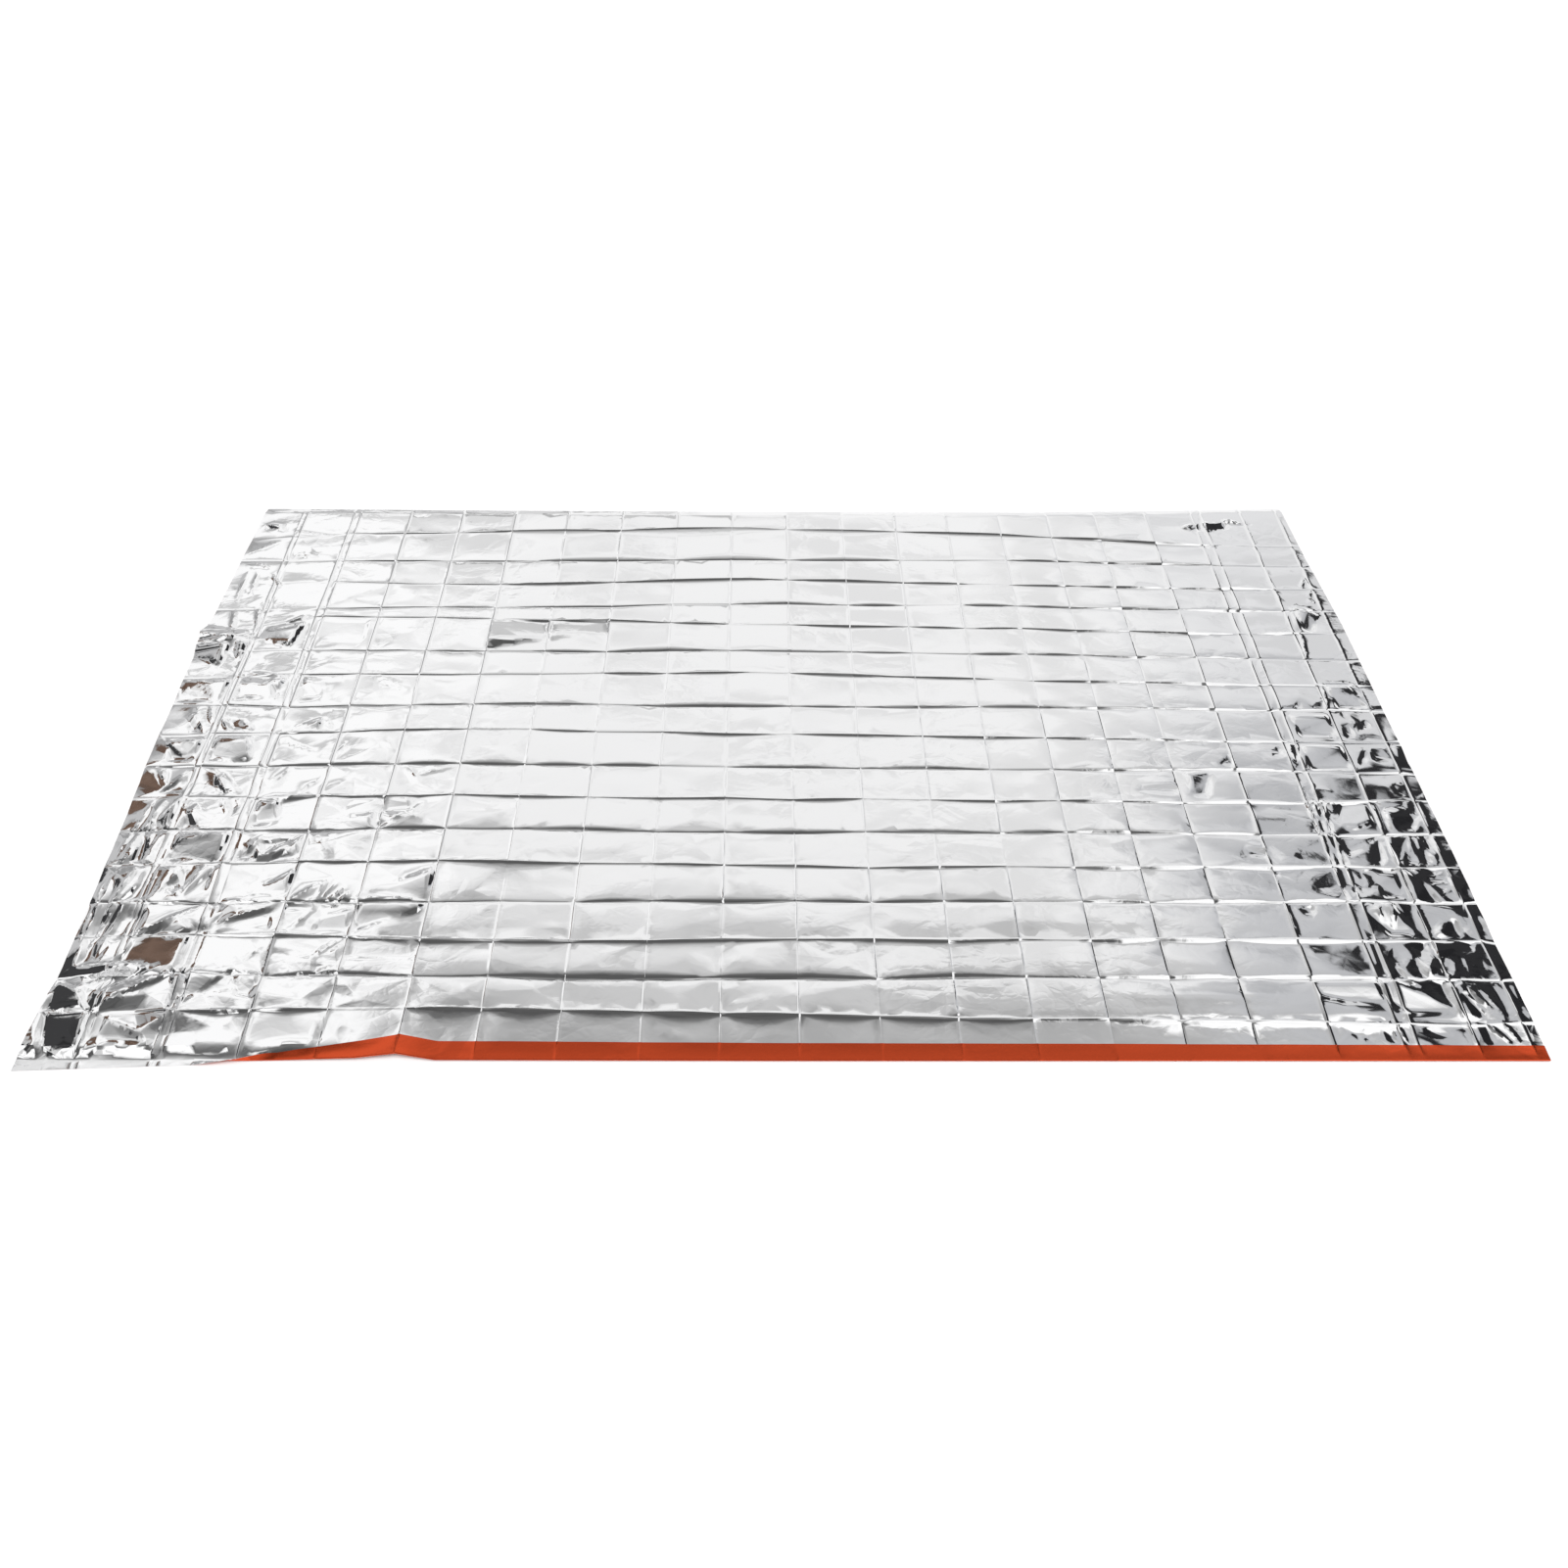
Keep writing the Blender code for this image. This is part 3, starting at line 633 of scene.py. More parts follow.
def lens(share, power):
    """A swelling that is highest in the middle and gone at both ends."""
    return np.sin(np.pi * np.clip(share, 0, 1)) ** power


def slope_down(share):
    """A crease's side: steep at the crease and level with the panel where the share reaches 1."""
    return np.clip(1 - share, 0, 1) ** 2


def row_crease_heights(x, y, creases, loose):
    """What the row creases add: a sharp line all along, and the stretches that stand out of it."""
    columns = [0, *(crease[0] for crease in COLUMN_CREASES), WIDTH]
    line_height, dark_reach, other_reach = CREASE_LINE
    total = np.zeros_like(x)
    for number, ((kind, _distances), crease, stretches) in enumerate(zip(ROW_CREASES, creases, STRETCHES), 1):
        off = y - crease
        dark = (off < 0) == (kind == "ridge")
        off = np.abs(off)
        strength = np.interp(x[0], columns, [loose.uniform(*LINE_STRENGTHS) for _ in columns])
        if number >= FIRST_FAINT:
            strength *= along(FAINT, x[0])
        size = line_height * strength * slope_down(off / np.where(dark, dark_reach, other_reach))
        for x0, x1, height, reach in stretches:
            swell = lens((x[0] - x0) / (x1 - x0), STRETCH_POINT)
            side = np.maximum(np.where(dark, reach, OTHER_SIDE) * swell, SHORTEST_SIDE)
            size += height * swell * slope_down(off / side)
        total += size if kind == "ridge" else -size
    return total


def column_crease_heights(x, y, creases, loose):
    """What the column creases add: thin raised lines and grooves, uneven from row to row."""
    total = np.zeros_like(x)
    strip = np.zeros(x.shape, int)
    for crease in creases:
        strip += y > crease
    for place, height, reach in COLUMN_CREASES:
        size = np.array([loose.uniform(*COLUMN_STRENGTHS) for _ in range(len(creases) + 1)])
        total += height * size[strip] * np.exp(-np.abs(x - place) / (COLUMN_REACH * reach))
    return total


def facet_heights(xs, y, creases, loose):
    """Flat facets in every cell: they meet in a loose point inside it, and at its corners and sides."""
    def draw(play):
        return play * loose.uniform(-1, 1)

    lines = np.array(CELL_SIDES, float)
    plays = along(CRUMPLE, lines)
    strips, cells = len(creases) + 1, len(lines) - 1
    calm = [float(along(CALMER, crease[0])) for crease in (*creases, creases[-1])]
    level = [0.0, *calm[:-1], FAR_CALM * calm[-1]]
    corners = [[level[s] * draw(play) for play in plays] for s in range(strips + 1)]
    across = [[level[s] * draw(0.5 * (a + b)) for a, b in zip(plays, plays[1:])] for s in range(strips + 1)]
    upright = [[calm[s] * draw(play) for play in plays] for s in range(strips)]
    total = np.zeros_like(y)
    bounds = [y[0], *creases, y[-1]]
    for strip in range(strips):
        low, high = bounds[strip], bounds[strip + 1]
        rows = slice(*np.flatnonzero(((y >= low - 1e-6) & (y <= high + 1e-6)).all(1))[[0, -1]] + (0, 1))
        share = (y[rows] - low) / (high - low)
        for cell in range(cells):
            where = np.flatnonzero((xs >= lines[cell]) & (xs <= lines[cell + 1]))
            u = np.broadcast_to((xs[where] - lines[cell]) / (lines[cell + 1] - lines[cell]),
                                (share.shape[0], len(where)))
            v = share[:, where]
            middle = (loose.uniform(*FACET_MIDDLES), loose.uniform(*FACET_MIDDLES),
                      calm[strip] * loose.uniform(*FACET_PEAKS) * 0.5 * (plays[cell] + plays[cell + 1]))
            loose.random(), loose.random()  # not used: they keep the draws of the later cells as they are
            rim = [(0, 0, corners[strip][cell]), (0.5, 0, across[strip][cell]),
                   (1, 0, corners[strip][cell + 1]), (1, 0.5, upright[strip][cell + 1]),
                   (1, 1, corners[strip + 1][cell + 1]), (0.5, 1, across[strip + 1][cell]),
                   (0, 1, corners[strip + 1][cell]), (0, 0.5, upright[strip][cell])]
            total[rows, where[0]:where[-1] + 1] = fan_height(u, v, middle, rim)
    return total


def fan_height(u, v, middle, rim):
    """The height at a place in a cell whose facets run from its middle point to the points on its rim."""
    height = np.zeros_like(u)
    for (u0, v0, z0), (u1, v1, z1) in zip(rim, (*rim[1:], rim[0])):
        um, vm, zm = middle
        size = (u0 - um) * (v1 - vm) - (u1 - um) * (v0 - vm)
        a = ((u - um) * (v1 - vm) - (u1 - um) * (v - vm)) / size
        b = ((u0 - um) * (v - vm) - (u - um) * (v0 - vm)) / size
        inside = (a >= -1e-9) & (b >= -1e-9)
        height = np.where(inside, zm + a * (z0 - zm) + b * (z1 - zm), height)
    return height


def corner_folds(xs, creases, loose):
    """Small folds that start at the corners of the cells and run out into them."""
    folds = []
    for line in CELL_SIDES[1:-1]:
        for crease in creases:
            y = float(np.interp(line, xs, crease))
            for _number in range(CORNER_FOLDS):
                turn = loose.uniform(0, 2 * math.pi)
                end, start = loose.uniform(*CORNER_ENDS), loose.uniform(*CORNER_STARTS)
                ux, uy = math.cos(turn), CORNER_FLATNESS * math.sin(turn)
                height = float(along(CRUMPLE, line, 2) * along(CALMER, y))
                height *= loose.uniform(WEAKEST_FOLD, 1) * loose.choice((-1, 1))
                folds.append((line + start * ux, y + start * uy, line + end * ux, y + end * uy,
                              height, loose.uniform(*CORNER_REACHES), loose.uniform(*CORNER_REACHES)))
    return folds


def pillow_heights(x, y, creases):
    """How the panels swell up between the row creases."""
    front, far = along(FRONT_FOLD, x, 1), along(FAR_EDGE, x)
    bounds = [front, *creases, far]
    total = np.zeros_like(x)
    for low, high in zip(bounds, bounds[1:]):
        share = np.clip((y - low) / (high - low), 0, 1)
        total += PILLOW * 4 * share * (1 - share)
    return total


def lean_heights(y, creases):
    """How the panels near the front lean, because their creases don't all lie at one height."""
    numbers, heights = zip(*LEVELS)
    places = [np.zeros(y.shape[1]), *(creases[number - 1] for number in numbers[1:])]
    total = np.zeros_like(y)
    for low, high, level, next_level in zip(places, places[1:], heights, heights[1:]):
        share = (y - low) / (high - low)
        total += np.where((share > 0) & (share <= 1), level + (next_level - level) * share, 0)
    return total


def fold_height(x, y, fold):
    """One fold: sharp along its line, highest in the middle and gone at both ends."""
    x0, y0, x1, y1, height, left, right = fold
    length = math.hypot(x1 - x0, y1 - y0)
    ux, uy = (x1 - x0) / length, (y1 - y0) / length
    share = ((x - x0) * ux + (y - y0) * uy) / length
    off = (y - y0) * ux - (x - x0) * uy
    return height * lens(share, FOLD_POINT) * np.exp(-np.abs(off) / np.where(off > 0, left, right))


def loose_folds(loose):
    """Small folds at places of their own, more and higher towards the crumpled ends."""
    folds = []
    for x0, x1, count, height, longest, slant in LOOSE_FOLDS:
        for _number in range(count):
            x, y = loose.uniform(x0, x1), loose.uniform(*LOOSE_DEPTHS)
            half = loose.uniform(*LOOSE_HALVES) * longest
            turn = math.radians(loose.uniform(-slant, slant))
            across, back = half * math.cos(turn), half * math.sin(turn)
            sides = loose.uniform(*LOOSE_REACHES), loose.uniform(*LOOSE_REACHES)
            size = height * float(along(CALMER, y)) * loose.choice((DENT, 1)) * loose.uniform(WEAKEST_FOLD, 1)
            folds.append((x - across, y - back, x + across, y + back, size, *sides))
    return folds


def add_folds(x, y, z, folds):
    """Adds every fold to the heights near it."""
    for fold in folds:
        x0, y0, x1, y1, _height, left, right = fold
        reach = FOLD_END * max(left, right)
        close = ((x > min(x0, x1) - reach) & (x < max(x0, x1) + reach)
                 & (y > min(y0, y1) - reach) & (y < max(y0, y1) + reach))
        z[close] += fold_height(x[close], y[close], fold)


def bump_heights(x, y):
    """What the single bumps add."""
    total = np.zeros_like(x)
    for middle_x, middle_y, half_along, half_across, turn, height in BUMPS:
        a = math.radians(turn)
        on = (x - middle_x) * math.cos(a) + (y - middle_y) * math.sin(a)
        off = (y - middle_y) * math.cos(a) - (x - middle_x) * math.sin(a)
        total += height * np.clip(1 - (on / half_along) ** 2 - (off / half_across) ** 2, 0, 1) ** 2
    return total


def patch_heights(x, y):
    """What the leaning patches add, and how far every place is inside one."""
    total, patch = np.zeros_like(x), np.zeros_like(x)
    for corners, back, right in PATCHES:
        inside = np.ones_like(x)
        sides = list(zip(corners, (*corners[1:], corners[0])))
        area = sum(x0 * y1 - x1 * y0 for (x0, y0), (x1, y1) in sides) / 2
        margin = min(PATCH_MARGIN, SMALL_MARGIN * area / sum(math.dist(*side) for side in sides))
        for (x0, y0), (x1, y1) in sides:
            within = ((y - y0) * (x1 - x0) - (x - x0) * (y1 - y0)) / math.dist((x0, y0), (x1, y1))
            inside = np.minimum(inside, np.clip(within / margin, 0, 1))
        middle_x = sum(corner[0] for corner in corners) / len(corners)
        middle_y = sum(corner[1] for corner in corners) / len(corners)
        mirrored = Vector((math.tan(math.radians(right)), math.tan(math.radians(back)), 1)).normalized()
        seen_from = (Vector(VIEWER) - Vector((middle_x, middle_y, 0))).normalized()
        upright = mirrored + seen_from
        up_right, up_back = -upright.x / upright.z, -upright.y / upright.z
        rises = [up_back * (cy - middle_y) + up_right * (cx - middle_x) for cx, cy in corners]
        deepest = float(along(PANEL_RISE, middle_y)) - CLEARANCE
        plane = up_back * (y - middle_y) + up_right * (x - middle_x) + max(0, -min(rises) - deepest)
        total = total * (1 - inside) + plane * inside
        patch = np.maximum(patch, inside)
    return smoothed(total), smoothed(patch)


def smoothed(values):
    """The values with every one moved towards those beside it, so that slanting edges run straight."""
    for _pass in range(SMOOTH_PASSES):
        values = (beside(values) + 4 * values) / 8
    return values


def beside(values):
    """The sum of the four values that stand beside every value."""
    wide = np.pad(values, 1, mode="edge")
    return wide[:-2, 1:-1] + wide[2:, 1:-1] + wide[1:-1, :-2] + wide[1:-1, 2:]


def sheet_points():
    """The film's underside as arrays of x, y and z, one row of the grid after another from the front fold."""
    loose = random.Random(LOOSE_SEED)
    xs = column_places()
    creases = crease_rows(xs, loose)
    y = row_places(xs, creases)
    x = np.broadcast_to(xs, y.shape).copy()
    all_creases = creases[:, None, :]
    leaning, patch = patch_heights(x, y)
    crumpled = facet_heights(xs, y, creases, loose) + pillow_heights(x, y, all_creases)
    add_folds(x, y, crumpled, [*corner_folds(xs, creases, loose), *loose_folds(loose)])
    base = along(PANEL_RISE, y)
    z = base + row_crease_heights(x, y, all_creases, loose)
    z += column_crease_heights(x, y, all_creases, loose) + lean_heights(y, creases)
    z += (crumpled + bump_heights(x, y)) * (1 - patch) + leaning
    add_folds(x, y, z, FOLDS)
    z = brought_down(x, y, z, base)
    # the cut edges at the sides
    left = np.clip(1 - x / COLUMN_CREASES[0][0], 0, 1)
    right = np.clip(1 - (WIDTH - x) / (WIDTH - COLUMN_CREASES[-1][0]), 0, 1)
    return x - left * along(LEFT_EDGE, y) + right * along(RIGHT_EDGE, y), y, z


def brought_down(x, y, z, base):
    """The heights, brought down to the front fold and to the cut edge at the back."""
    behind = y - along(FRONT_FOLD, x, 1)
    near = np.clip(behind / along(FRONT_RAMP, x), 0, 1)
    clear = np.clip(behind / np.maximum(along(FRONT_FOLD, x, 3) * FLAP_COVER, SHORTEST_COVER), 0, 1)
    lift = along(FRONT_FOLD, x, 2) * (1 - near)
    z = LOWEST + lift + (z - base) * clear ** COVER_POWER + (base - LOWEST) * near ** 2
    far = np.clip((along(FAR_EDGE, x) - y) / FAR_FALL, 0, 1)
    z = LOWEST + (z - LOWEST) * (FAR_HEIGHT + (1 - FAR_HEIGHT) * far)
    return np.maximum(z, LOWEST)


def flap_points(x, y, z):
    """The underside's rows from the flap's cut edge to the front fold."""
    front_x, front_y, front_z = x[0], y[0], z[0]
    turn = np.pi * along(FRONT_FOLD, front_x, 4)
    straight = np.maximum(along(FRONT_FOLD, front_x, 3) - FOLD_RADIUS * turn, SHORTEST_FLAP)
    ways = [(step / FLAP_STEPS_ROUND, 0) for step in range(1, FLAP_STEPS_ROUND + 1)]
    ways += [(1, step / FLAP_STEPS_BACK) for step in range(1, FLAP_STEPS_BACK + 1)]
    ridges = sum(np.exp(-np.abs(front_x - place) / reach) for place, _height, reach in COLUMN_CREASES)
    ridges = along(FLAP_RIDGES, front_x) * ridges
    is_open = turn < OPEN_TURN
    rows = []
    for share, past in ways:
        ahead = FOLD_RADIUS * np.sin(turn * share) + past * straight * np.cos(turn)
        up = FOLD_RADIUS * (1 - np.cos(turn * share)) + past * straight * np.sin(turn)
        ahead = np.where(is_open, straight * (share * OPEN_BEND + past * (1 - OPEN_BEND)), ahead)
        up = np.where(is_open, 0, up)
        below = np.array([np.interp(max(-a, 0), y[:, i] - front_y[i], z[:, i]) for i, a in enumerate(ahead)])
        ground = np.where(ahead < 0, below, front_z)
        rows.append((front_x, front_y - ahead, ground + up + ridges * share))
    rows.reverse()
    return [np.array([row[axis] for row in rows]) for axis in range(3)]


def grid_triangles(z):
    """The grid's squares cut into triangles, each along the diagonal that a slanting crease follows."""
    rows, columns = z.shape
    index = np.arange(rows * columns).reshape(rows, columns)
    a, b, c, d = index[:-1, :-1], index[:-1, 1:], index[1:, 1:], index[1:, :-1]
    bulge = z - beside(z) / 4  # above zero on a ridge
    level = z.reshape(-1)
    swell = bulge[:-1, :-1] + bulge[:-1, 1:] + bulge[1:, 1:] + bulge[1:, :-1]
    one_way = (level[a] + level[c] > level[b] + level[d]) == (swell > 0)
    first = np.where(one_way[..., None], np.stack([a, b, c], -1), np.stack([a, b, d], -1))
    second = np.where(one_way[..., None], np.stack([a, c, d], -1), np.stack([b, c, d], -1))
    return np.concatenate([first.reshape(-1, 3), second.reshape(-1, 3)])


def node(tree, kind, *inputs, **settings):
    """A new node with its settings, its inputs set to values or linked to sockets."""
    made = tree.nodes.new(kind)
    for name, value in settings.items():
        setattr(made, name, value)
    for place, value in enumerate(inputs):
        if isinstance(value, bpy.types.NodeSocket):
            tree.links.new(value, made.inputs[place])
        elif value is not None:
            made.inputs[place].default_value = value
    return made


def calculated(tree, operation, first, second=None):
    """The socket of a new node that works one number out from others."""
    return node(tree, "ShaderNodeMath", first, second, operation=operation).outputs[0]


def mapped(tree, value, low, high, new_low=0.0, new_high=1.0):
    """The socket of a new node that maps one range of numbers to another."""
    return node(tree, "ShaderNodeMapRange", value, low, high, new_low, new_high).outputs[0]


def group_with(name, inputs, output):
    """A new node group, with the sockets of its inputs and of its output as they are inside it."""
    group = bpy.data.node_groups.new(name, "ShaderNodeTree")
    for socket in inputs:
        group.interface.new_socket(socket, in_out="INPUT", socket_type="NodeSocketFloat")
    group.interface.new_socket(output, in_out="OUTPUT", socket_type="NodeSocketFloat")
    return group, group.nodes.new("NodeGroupInput").outputs, group.nodes.new("NodeGroupOutput").inputs[0]


def crinkle_group():
    """A node group: the height of the film's fine crinkles in metres, from the sizes it is given."""
    group, given, height_out = group_with("film crinkles", [name for name, _size in CRINKLE_SIZES], "Height")
    place = node(group, "ShaderNodeTexCoord").outputs["Object"]

    def noise(scale, detail, output="Fac"):
        made = node(group, "ShaderNodeTexNoise", place)
        made.inputs["Scale"].default_value = scale
        made.inputs["Detail"].default_value = detail
        return made.outputs[output]

    def moved(vector, operation, other):
        return node(group, "ShaderNodeVectorMath", vector, other, operation=operation).outputs[0]

    def facets(scale, reach, bend):
        """Pyramids with flat sides, bent out of their grid, of slope 1."""
        shift = moved(noise(bend, 1.0, "Color"), "SUBTRACT", (0.5, 0.5, 0.5))
        shift = moved(shift, "MULTIPLY", (reach, reach, 0))
        flat = moved(moved(place, "ADD", shift), "MULTIPLY", FACET_STRETCH)
        cells = node(group, "ShaderNodeTexVoronoi", flat, feature="DISTANCE_TO_EDGE")
        cells.inputs["Scale"].default_value = scale
        return calculated(group, "MULTIPLY", cells.outputs["Distance"], 1 / scale)

    # calm and crinkled places: more towards the ends
    across = node(group, "ShaderNodeSeparateXYZ", place).outputs[0]
    ends = mapped(group, calculated(group, "ABSOLUTE", across), *MORE_AT_ENDS)
    amount = calculated(group, "ADD", mapped(group, noise(*CALM_NOISE), *CALM_SHARES), ends)
    shapes = (facets(*FACETS), facets(*SMALL_FACETS), noise(*SWELL_NOISE), noise(*GRAIN_NOISE))
    height = None
    for (name, _size), shape in zip(CRINKLE_SIZES, shapes):
        part = calculated(group, "MULTIPLY", shape, given[name])
        if "Facets" in name:
            part = calculated(group, "MULTIPLY", part, amount)
        height = part if height is None else calculated(group, "ADD", height, part)
    group.links.new(height, height_out)
    return group


def film_material(name, colour, metal, roughness, crinkles):
    """A metallised film: its colour, over the crinkles that the film's own side shows."""
    material = bpy.data.materials.new(name)
    material.use_nodes = True
    tree = material.node_tree
    shader = tree.nodes["Principled BSDF"]
    shader.inputs["Base Color"].default_value = (*colour, 1)
    shader.inputs["Metallic"].default_value = metal
    shader.inputs["Roughness"].default_value = roughness
    sizes = [size for _name, size in CRINKLE_SIZES]
    fine = node(tree, "ShaderNodeGroup", *sizes, node_tree=crinkles)
    bump = tree.nodes.new("ShaderNodeBump")
    bump.inputs["Distance"].default_value = 1.0
    tree.links.new(fine.outputs[0], bump.inputs["Height"])
    tree.links.new(bump.outputs[0], shader.inputs["Normal"])
    return material


def settle_modifiers(piece):
    """Makes the piece's modifiers part of its mesh."""
    bpy.context.view_layer.update()
    shown = piece.evaluated_get(bpy.context.evaluated_depsgraph_get())
    plain = piece.data
    piece.data = bpy.data.meshes.new_from_object(shown)
    piece.data.name = plain.name
    piece.modifiers.clear()
    bpy.data.meshes.remove(plain)


class FoilFinish(bpy.types.PropertyGroup):
    silver: bpy.props.FloatVectorProperty(
        name="Silver", description="Colour of the metallised side", subtype="COLOR", size=3,
        default=(0.935, 0.935, 0.94), min=0, max=1)
    orange: bpy.props.FloatVectorProperty(
        name="Orange", description="Colour of the printed reverse", subtype="COLOR", size=3,
        default=(0.70, 0.088, 0.027), min=0, max=1)
    roughness: bpy.props.FloatProperty(
        name="Roughness", description="How blurred the silver side's reflections are", default=0.045,
        min=0, max=1)


class FoilSheet(bpy.types.PropertyGroup):
    film: bpy.props.FloatProperty(
        name="Film", description="Thickness of the film", default=0.4 * MM, unit="LENGTH")


class FoilStudio(bpy.types.PropertyGroup):
    floor_size: bpy.props.FloatProperty(
        name="Floor", description="Length of the floor's sides", default=60.0, unit="LENGTH")
    lamp: bpy.props.FloatProperty(
        name="Lamp", description="Strength of the soft lamp over the floor", default=2.0)


class MESH_OT_foil_blanket(bpy.types.Operator):
    """Make the creased sheet in place of its plain solid"""
    bl_idname = "mesh.foil_blanket"
    bl_label = "Foil Blanket"

    def execute(self, context):
        x, y, z = sheet_points()
        flap = flap_points(x, y, z)
        x, y, z = (np.concatenate(pair) for pair in zip(flap, (x, y, z)))
        points = np.stack([(x - ORIGIN[0]) * MM, (y - ORIGIN[1]) * MM, z * MM], -1).reshape(-1, 3)
        faces = grid_triangles(z)
        mesh = bpy.data.meshes.new("creased_sheet")
        mesh.from_pydata(points.tolist(), [], faces.tolist())
        sheet = bpy.data.objects.new("creased_sheet", mesh)
        context.scene.collection.objects.link(sheet)
        finish = context.scene.foil_finish
        crinkles = crinkle_group()
        for side in (("silver film", finish.silver, SILVER_METAL, finish.roughness),
                     ("orange film", finish.orange, ORANGE_METAL, ORANGE_ROUGHNESS)):
            mesh.materials.append(film_material(*side, crinkles))
        fewer = sheet.modifiers.new("fewer faces", "DECIMATE")
        fewer.ratio = MOST_TRIANGLES / len(faces)
        shell = sheet.modifiers.new("film", "SOLIDIFY")
        shell.thickness = context.scene.foil_sheet.film
        shell.offset = 1
        shell.material_offset = 1
        mesh.polygons.foreach_set("use_smooth", [True] * len(mesh.polygons))
        settle_modifiers(sheet)
        sheet.data.set_sharp_from_angle(angle=SHARPEST_SMOOTH)
        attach(sheet, "root")
        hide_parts("foil_sheet")
        return {"FINISHED"}


def card_group():
    """A node group: how much a direction falls on one card."""
    inputs = ("Right", "Back", "Left Side", "Right Side", "Near Side", "Far Side", "Softness")
    group, given, share_out = group_with("light card", inputs, "Share")
    share = None
    for inner, outer in (("Right", "Left Side"), ("Right Side", "Right"),
                         ("Back", "Near Side"), ("Far Side", "Back")):
        off = calculated(group, "SUBTRACT", given[inner], given[outer])
        off = calculated(group, "DIVIDE", off, given["Softness"])
        ramp = node(group, "ShaderNodeMapRange", off, -0.5, 0.5, 0.0, 1.0,
                    interpolation_type="SMOOTHSTEP").outputs[0]
        share = ramp if share is None else calculated(group, "MULTIPLY", share, ramp)
    group.links.new(share, share_out)
    return group


def sky_level(tree, back):
    """The level of the sky, from the angle towards the back."""
    ramp = node(tree, "ShaderNodeValToRGB", mapped(tree, back, -90.0, 90.0))
    stops = ramp.color_ramp.elements
    while len(stops) > 1:
        stops.remove(stops[-1])
    for number, (degrees, level) in enumerate(SKY):
        stop = stops[0] if number == 0 else stops.new((degrees + 90) / 180)
        stop.position = (degrees + 90) / 180
        stop.color = (level, level, level, 1)
    return ramp.outputs[0]


def with_cards(tree, colour, right, back):
    """The colour with every card laid over it."""
    cards = card_group()
    for *sides_and_softness, shade in CARDS:
        card = node(tree, "ShaderNodeGroup", right, back, *sides_and_softness, node_tree=cards)
        mix = tree.nodes.new("ShaderNodeMix")
        mix.data_type = "RGBA"
        tree.links.new(card.outputs[0], mix.inputs[0])
        tree.links.new(colour, mix.inputs[6])
        mix.inputs[7].default_value = (*shade, 1)
        colour = mix.outputs[2]
    return colour


def made_uneven(tree, colour, right, back):
    """The colour, darkened a little in soft patches."""
    scaled = [calculated(tree, "MULTIPLY", angle, 1 / UNEVEN_SPAN) for angle in (right, back)]
    uneven = node(tree, "ShaderNodeTexNoise", node(tree, "ShaderNodeCombineXYZ", *scaled).outputs[0])
    uneven.inputs["Scale"].default_value = 1.0
    uneven.inputs["Detail"].default_value = UNEVEN_DETAIL
    depth = mapped(tree, mapped(tree, right, UNEVEN_FROM, UNEVEN_TO), 0.0, 1.0, *UNEVEN_DEPTHS)
    change = calculated(tree, "MULTIPLY", mapped(tree, uneven.outputs[0], *UNEVEN_NOISE), depth)
    scale = node(tree, "ShaderNodeVectorMath", colour, operation="SCALE")
    tree.links.new(calculated(tree, "SUBTRACT", 1.0, change), scale.inputs["Scale"])
    return scale.outputs[0]


def studio_world(scene):
    """The room that the film mirrors. What shows behind the blanket is plain white."""
    world = bpy.data.worlds.new("studio")
    scene.world = world
    world.use_nodes = True
    tree = world.node_tree
    tree.nodes.clear()
    split = node(tree, "ShaderNodeSeparateXYZ", node(tree, "ShaderNodeTexCoord").outputs["Generated"])
    up = calculated(tree, "MAXIMUM", split.outputs[2], HORIZON)
    turns = [calculated(tree, "ARCTAN2", split.outputs[axis], up) for axis in (0, 1)]
    right, back = (calculated(tree, "MULTIPLY", turn, 180 / math.pi) for turn in turns)
    colour = made_uneven(tree, with_cards(tree, sky_level(tree, back), right, back), right, back)
    lit = node(tree, "ShaderNodeBackground", colour, 1.0)
    seen = node(tree, "ShaderNodeBackground", (1, 1, 1, 1), 1.0)
    path = node(tree, "ShaderNodeLightPath")
    mixed = node(tree, "ShaderNodeMixShader", path.outputs["Is Camera Ray"], lit.outputs[0], seen.outputs[0])
    node(tree, "ShaderNodeOutputWorld", mixed.outputs[0])


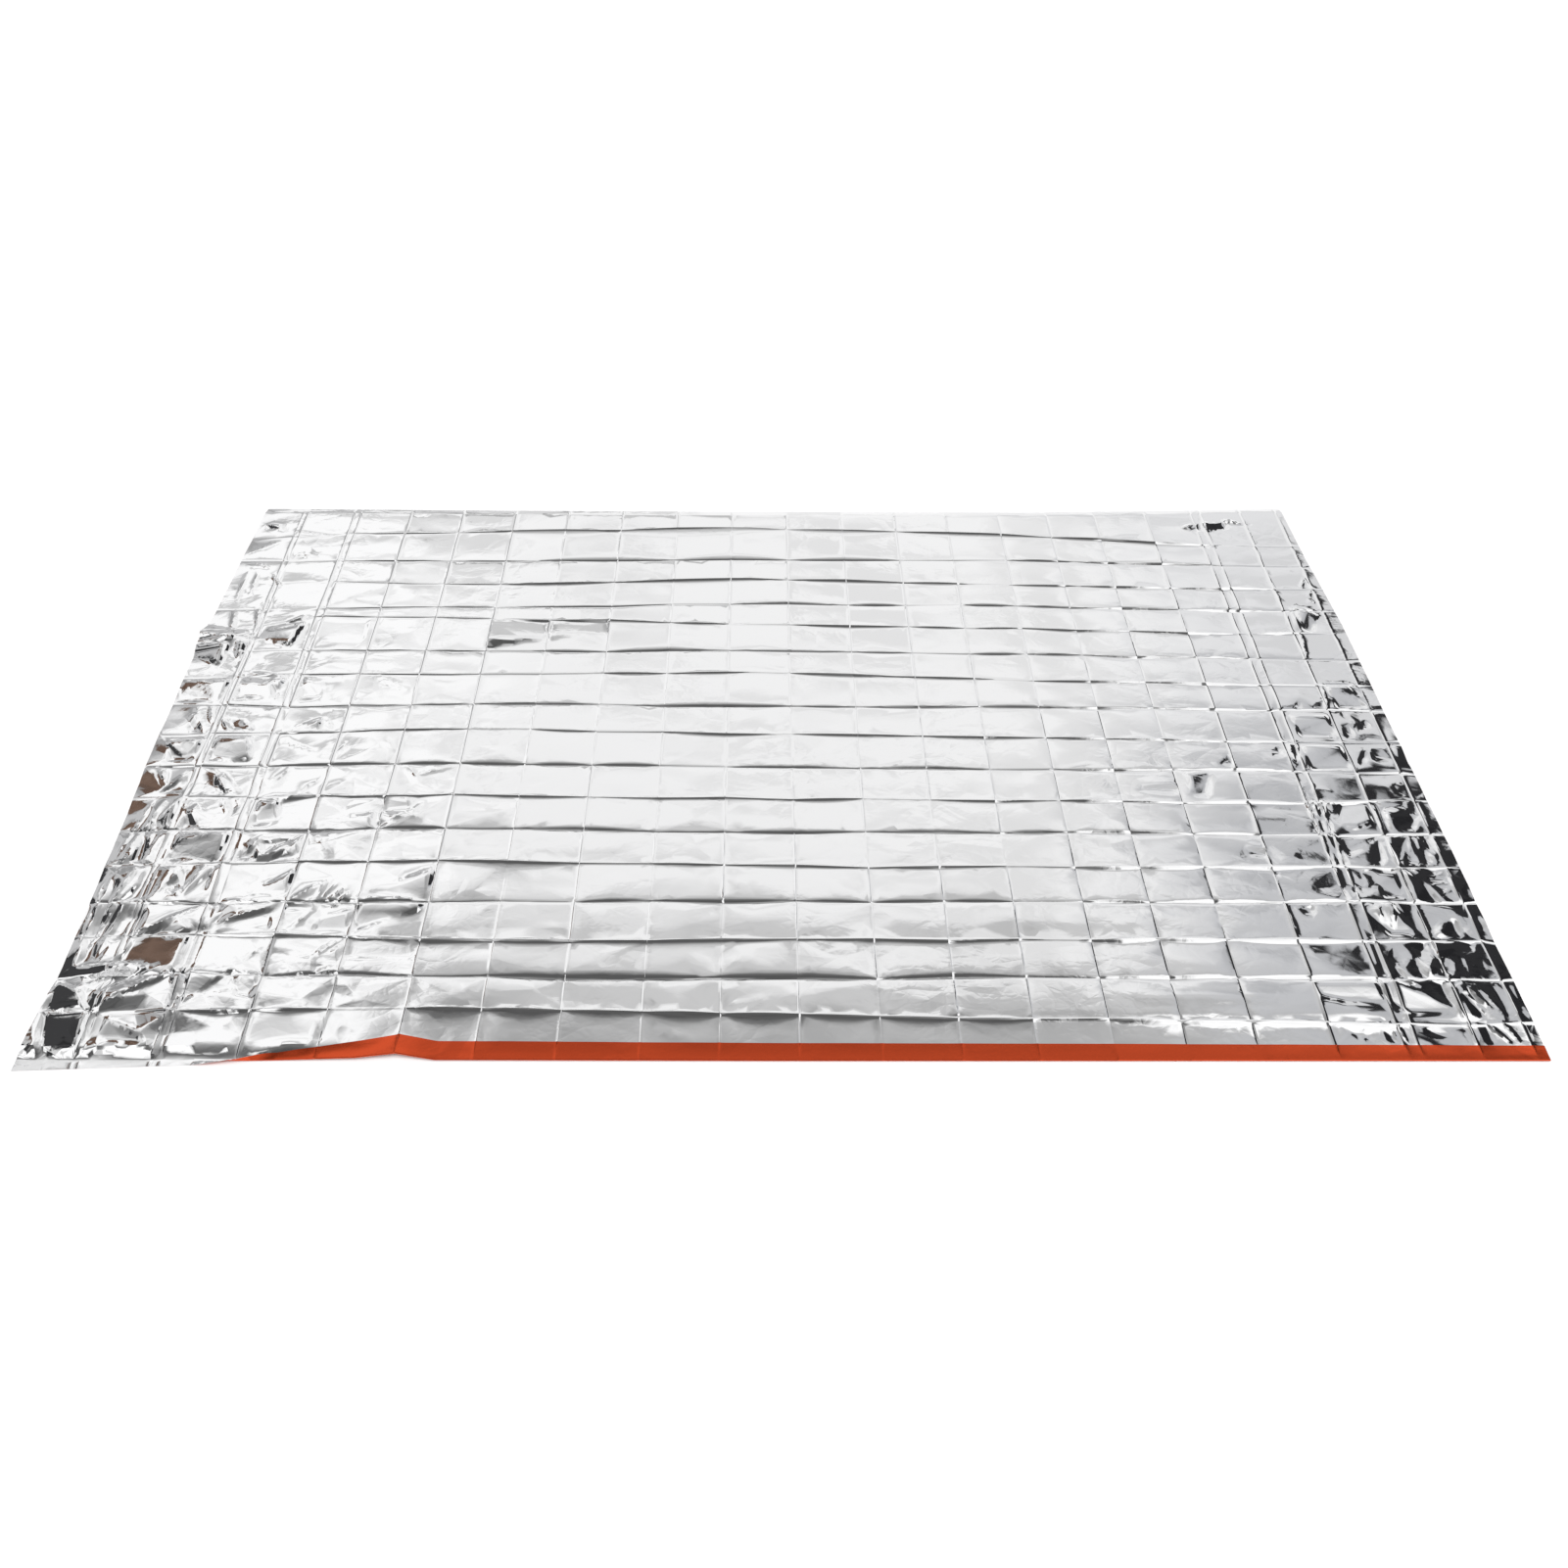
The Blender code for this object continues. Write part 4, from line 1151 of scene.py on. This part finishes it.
class SCENE_OT_foil_studio(bpy.types.Operator):
    """Lay the floor and set the light and the camera"""
    bl_idname = "scene.foil_studio"
    bl_label = "Studio"

    def execute(self, context):
        scene = context.scene
        size = scene.foil_studio.floor_size / 2
        mesh = bpy.data.meshes.new("studio_floor")
        corners = [(-size, -size, 0), (size, -size, 0), (size, size, 0), (-size, size, 0)]
        mesh.from_pydata(corners, [], [(0, 1, 2, 3)])
        floor = bpy.data.objects.new("studio_floor", mesh)
        scene.collection.objects.link(floor)
        material = bpy.data.materials.new("pale floor")
        material.use_nodes = True
        shader = material.node_tree.nodes["Principled BSDF"]
        shader.inputs["Base Color"].default_value = (FLOOR_SHADE, FLOOR_SHADE, FLOOR_SHADE, 1)
        shader.inputs["Roughness"].default_value = FLOOR_ROUGHNESS
        shader.inputs["Specular IOR Level"].default_value = 0.0
        mesh.materials.append(material)
        lamp = bpy.data.lights.new("soft lamp", "SUN")
        lamp.energy = scene.foil_studio.lamp
        lamp.angle = LAMP_ANGLE
        lamp_object = bpy.data.objects.new("soft lamp", lamp)
        lamp_object.visible_glossy = False
        scene.collection.objects.link(lamp_object)
        studio_world(scene)
        camera = bpy.data.cameras.new("camera")
        camera.lens = CAMERA_LENS
        camera.sensor_width = CAMERA_SENSOR
        camera.shift_x = CAMERA_SHIFT
        camera_object = bpy.data.objects.new("camera", camera)
        camera_object.location = CAMERA_PLACE
        camera_object.rotation_euler = (CAMERA_TILT, 0, 0)
        scene.collection.objects.link(camera_object)
        scene.camera = camera_object
        scene.view_settings.view_transform = "Standard"
        return {"FINISHED"}


class VIEW3D_PT_foil_blanket(bpy.types.Panel):
    bl_label = "Foil Blanket"
    bl_idname = "VIEW3D_PT_foil_blanket"
    bl_space_type = "VIEW_3D"
    bl_region_type = "UI"
    bl_category = "Foil Blanket"

    def draw(self, context):
        for operator in OPERATORS:
            self.layout.operator(operator.bl_idname)


OPERATORS = (SCENE_OT_foil_studio, MESH_OT_foil_blanket)
CLASSES = (FoilFinish, FoilSheet, FoilStudio, *OPERATORS, VIEW3D_PT_foil_blanket)


def register():
    for made in CLASSES:
        bpy.utils.register_class(made)
    bpy.types.Scene.foil_finish = bpy.props.PointerProperty(type=FoilFinish)
    bpy.types.Scene.foil_sheet = bpy.props.PointerProperty(type=FoilSheet)
    bpy.types.Scene.foil_studio = bpy.props.PointerProperty(type=FoilStudio)


def unregister():
    del bpy.types.Scene.foil_finish
    del bpy.types.Scene.foil_sheet
    del bpy.types.Scene.foil_studio
    for made in reversed(CLASSES):
        bpy.utils.unregister_class(made)


def main():
    register()
    bpy.ops.scene.foil_studio()
    bpy.ops.mesh.foil_blanket()


if __name__ == "__main__":
    main()
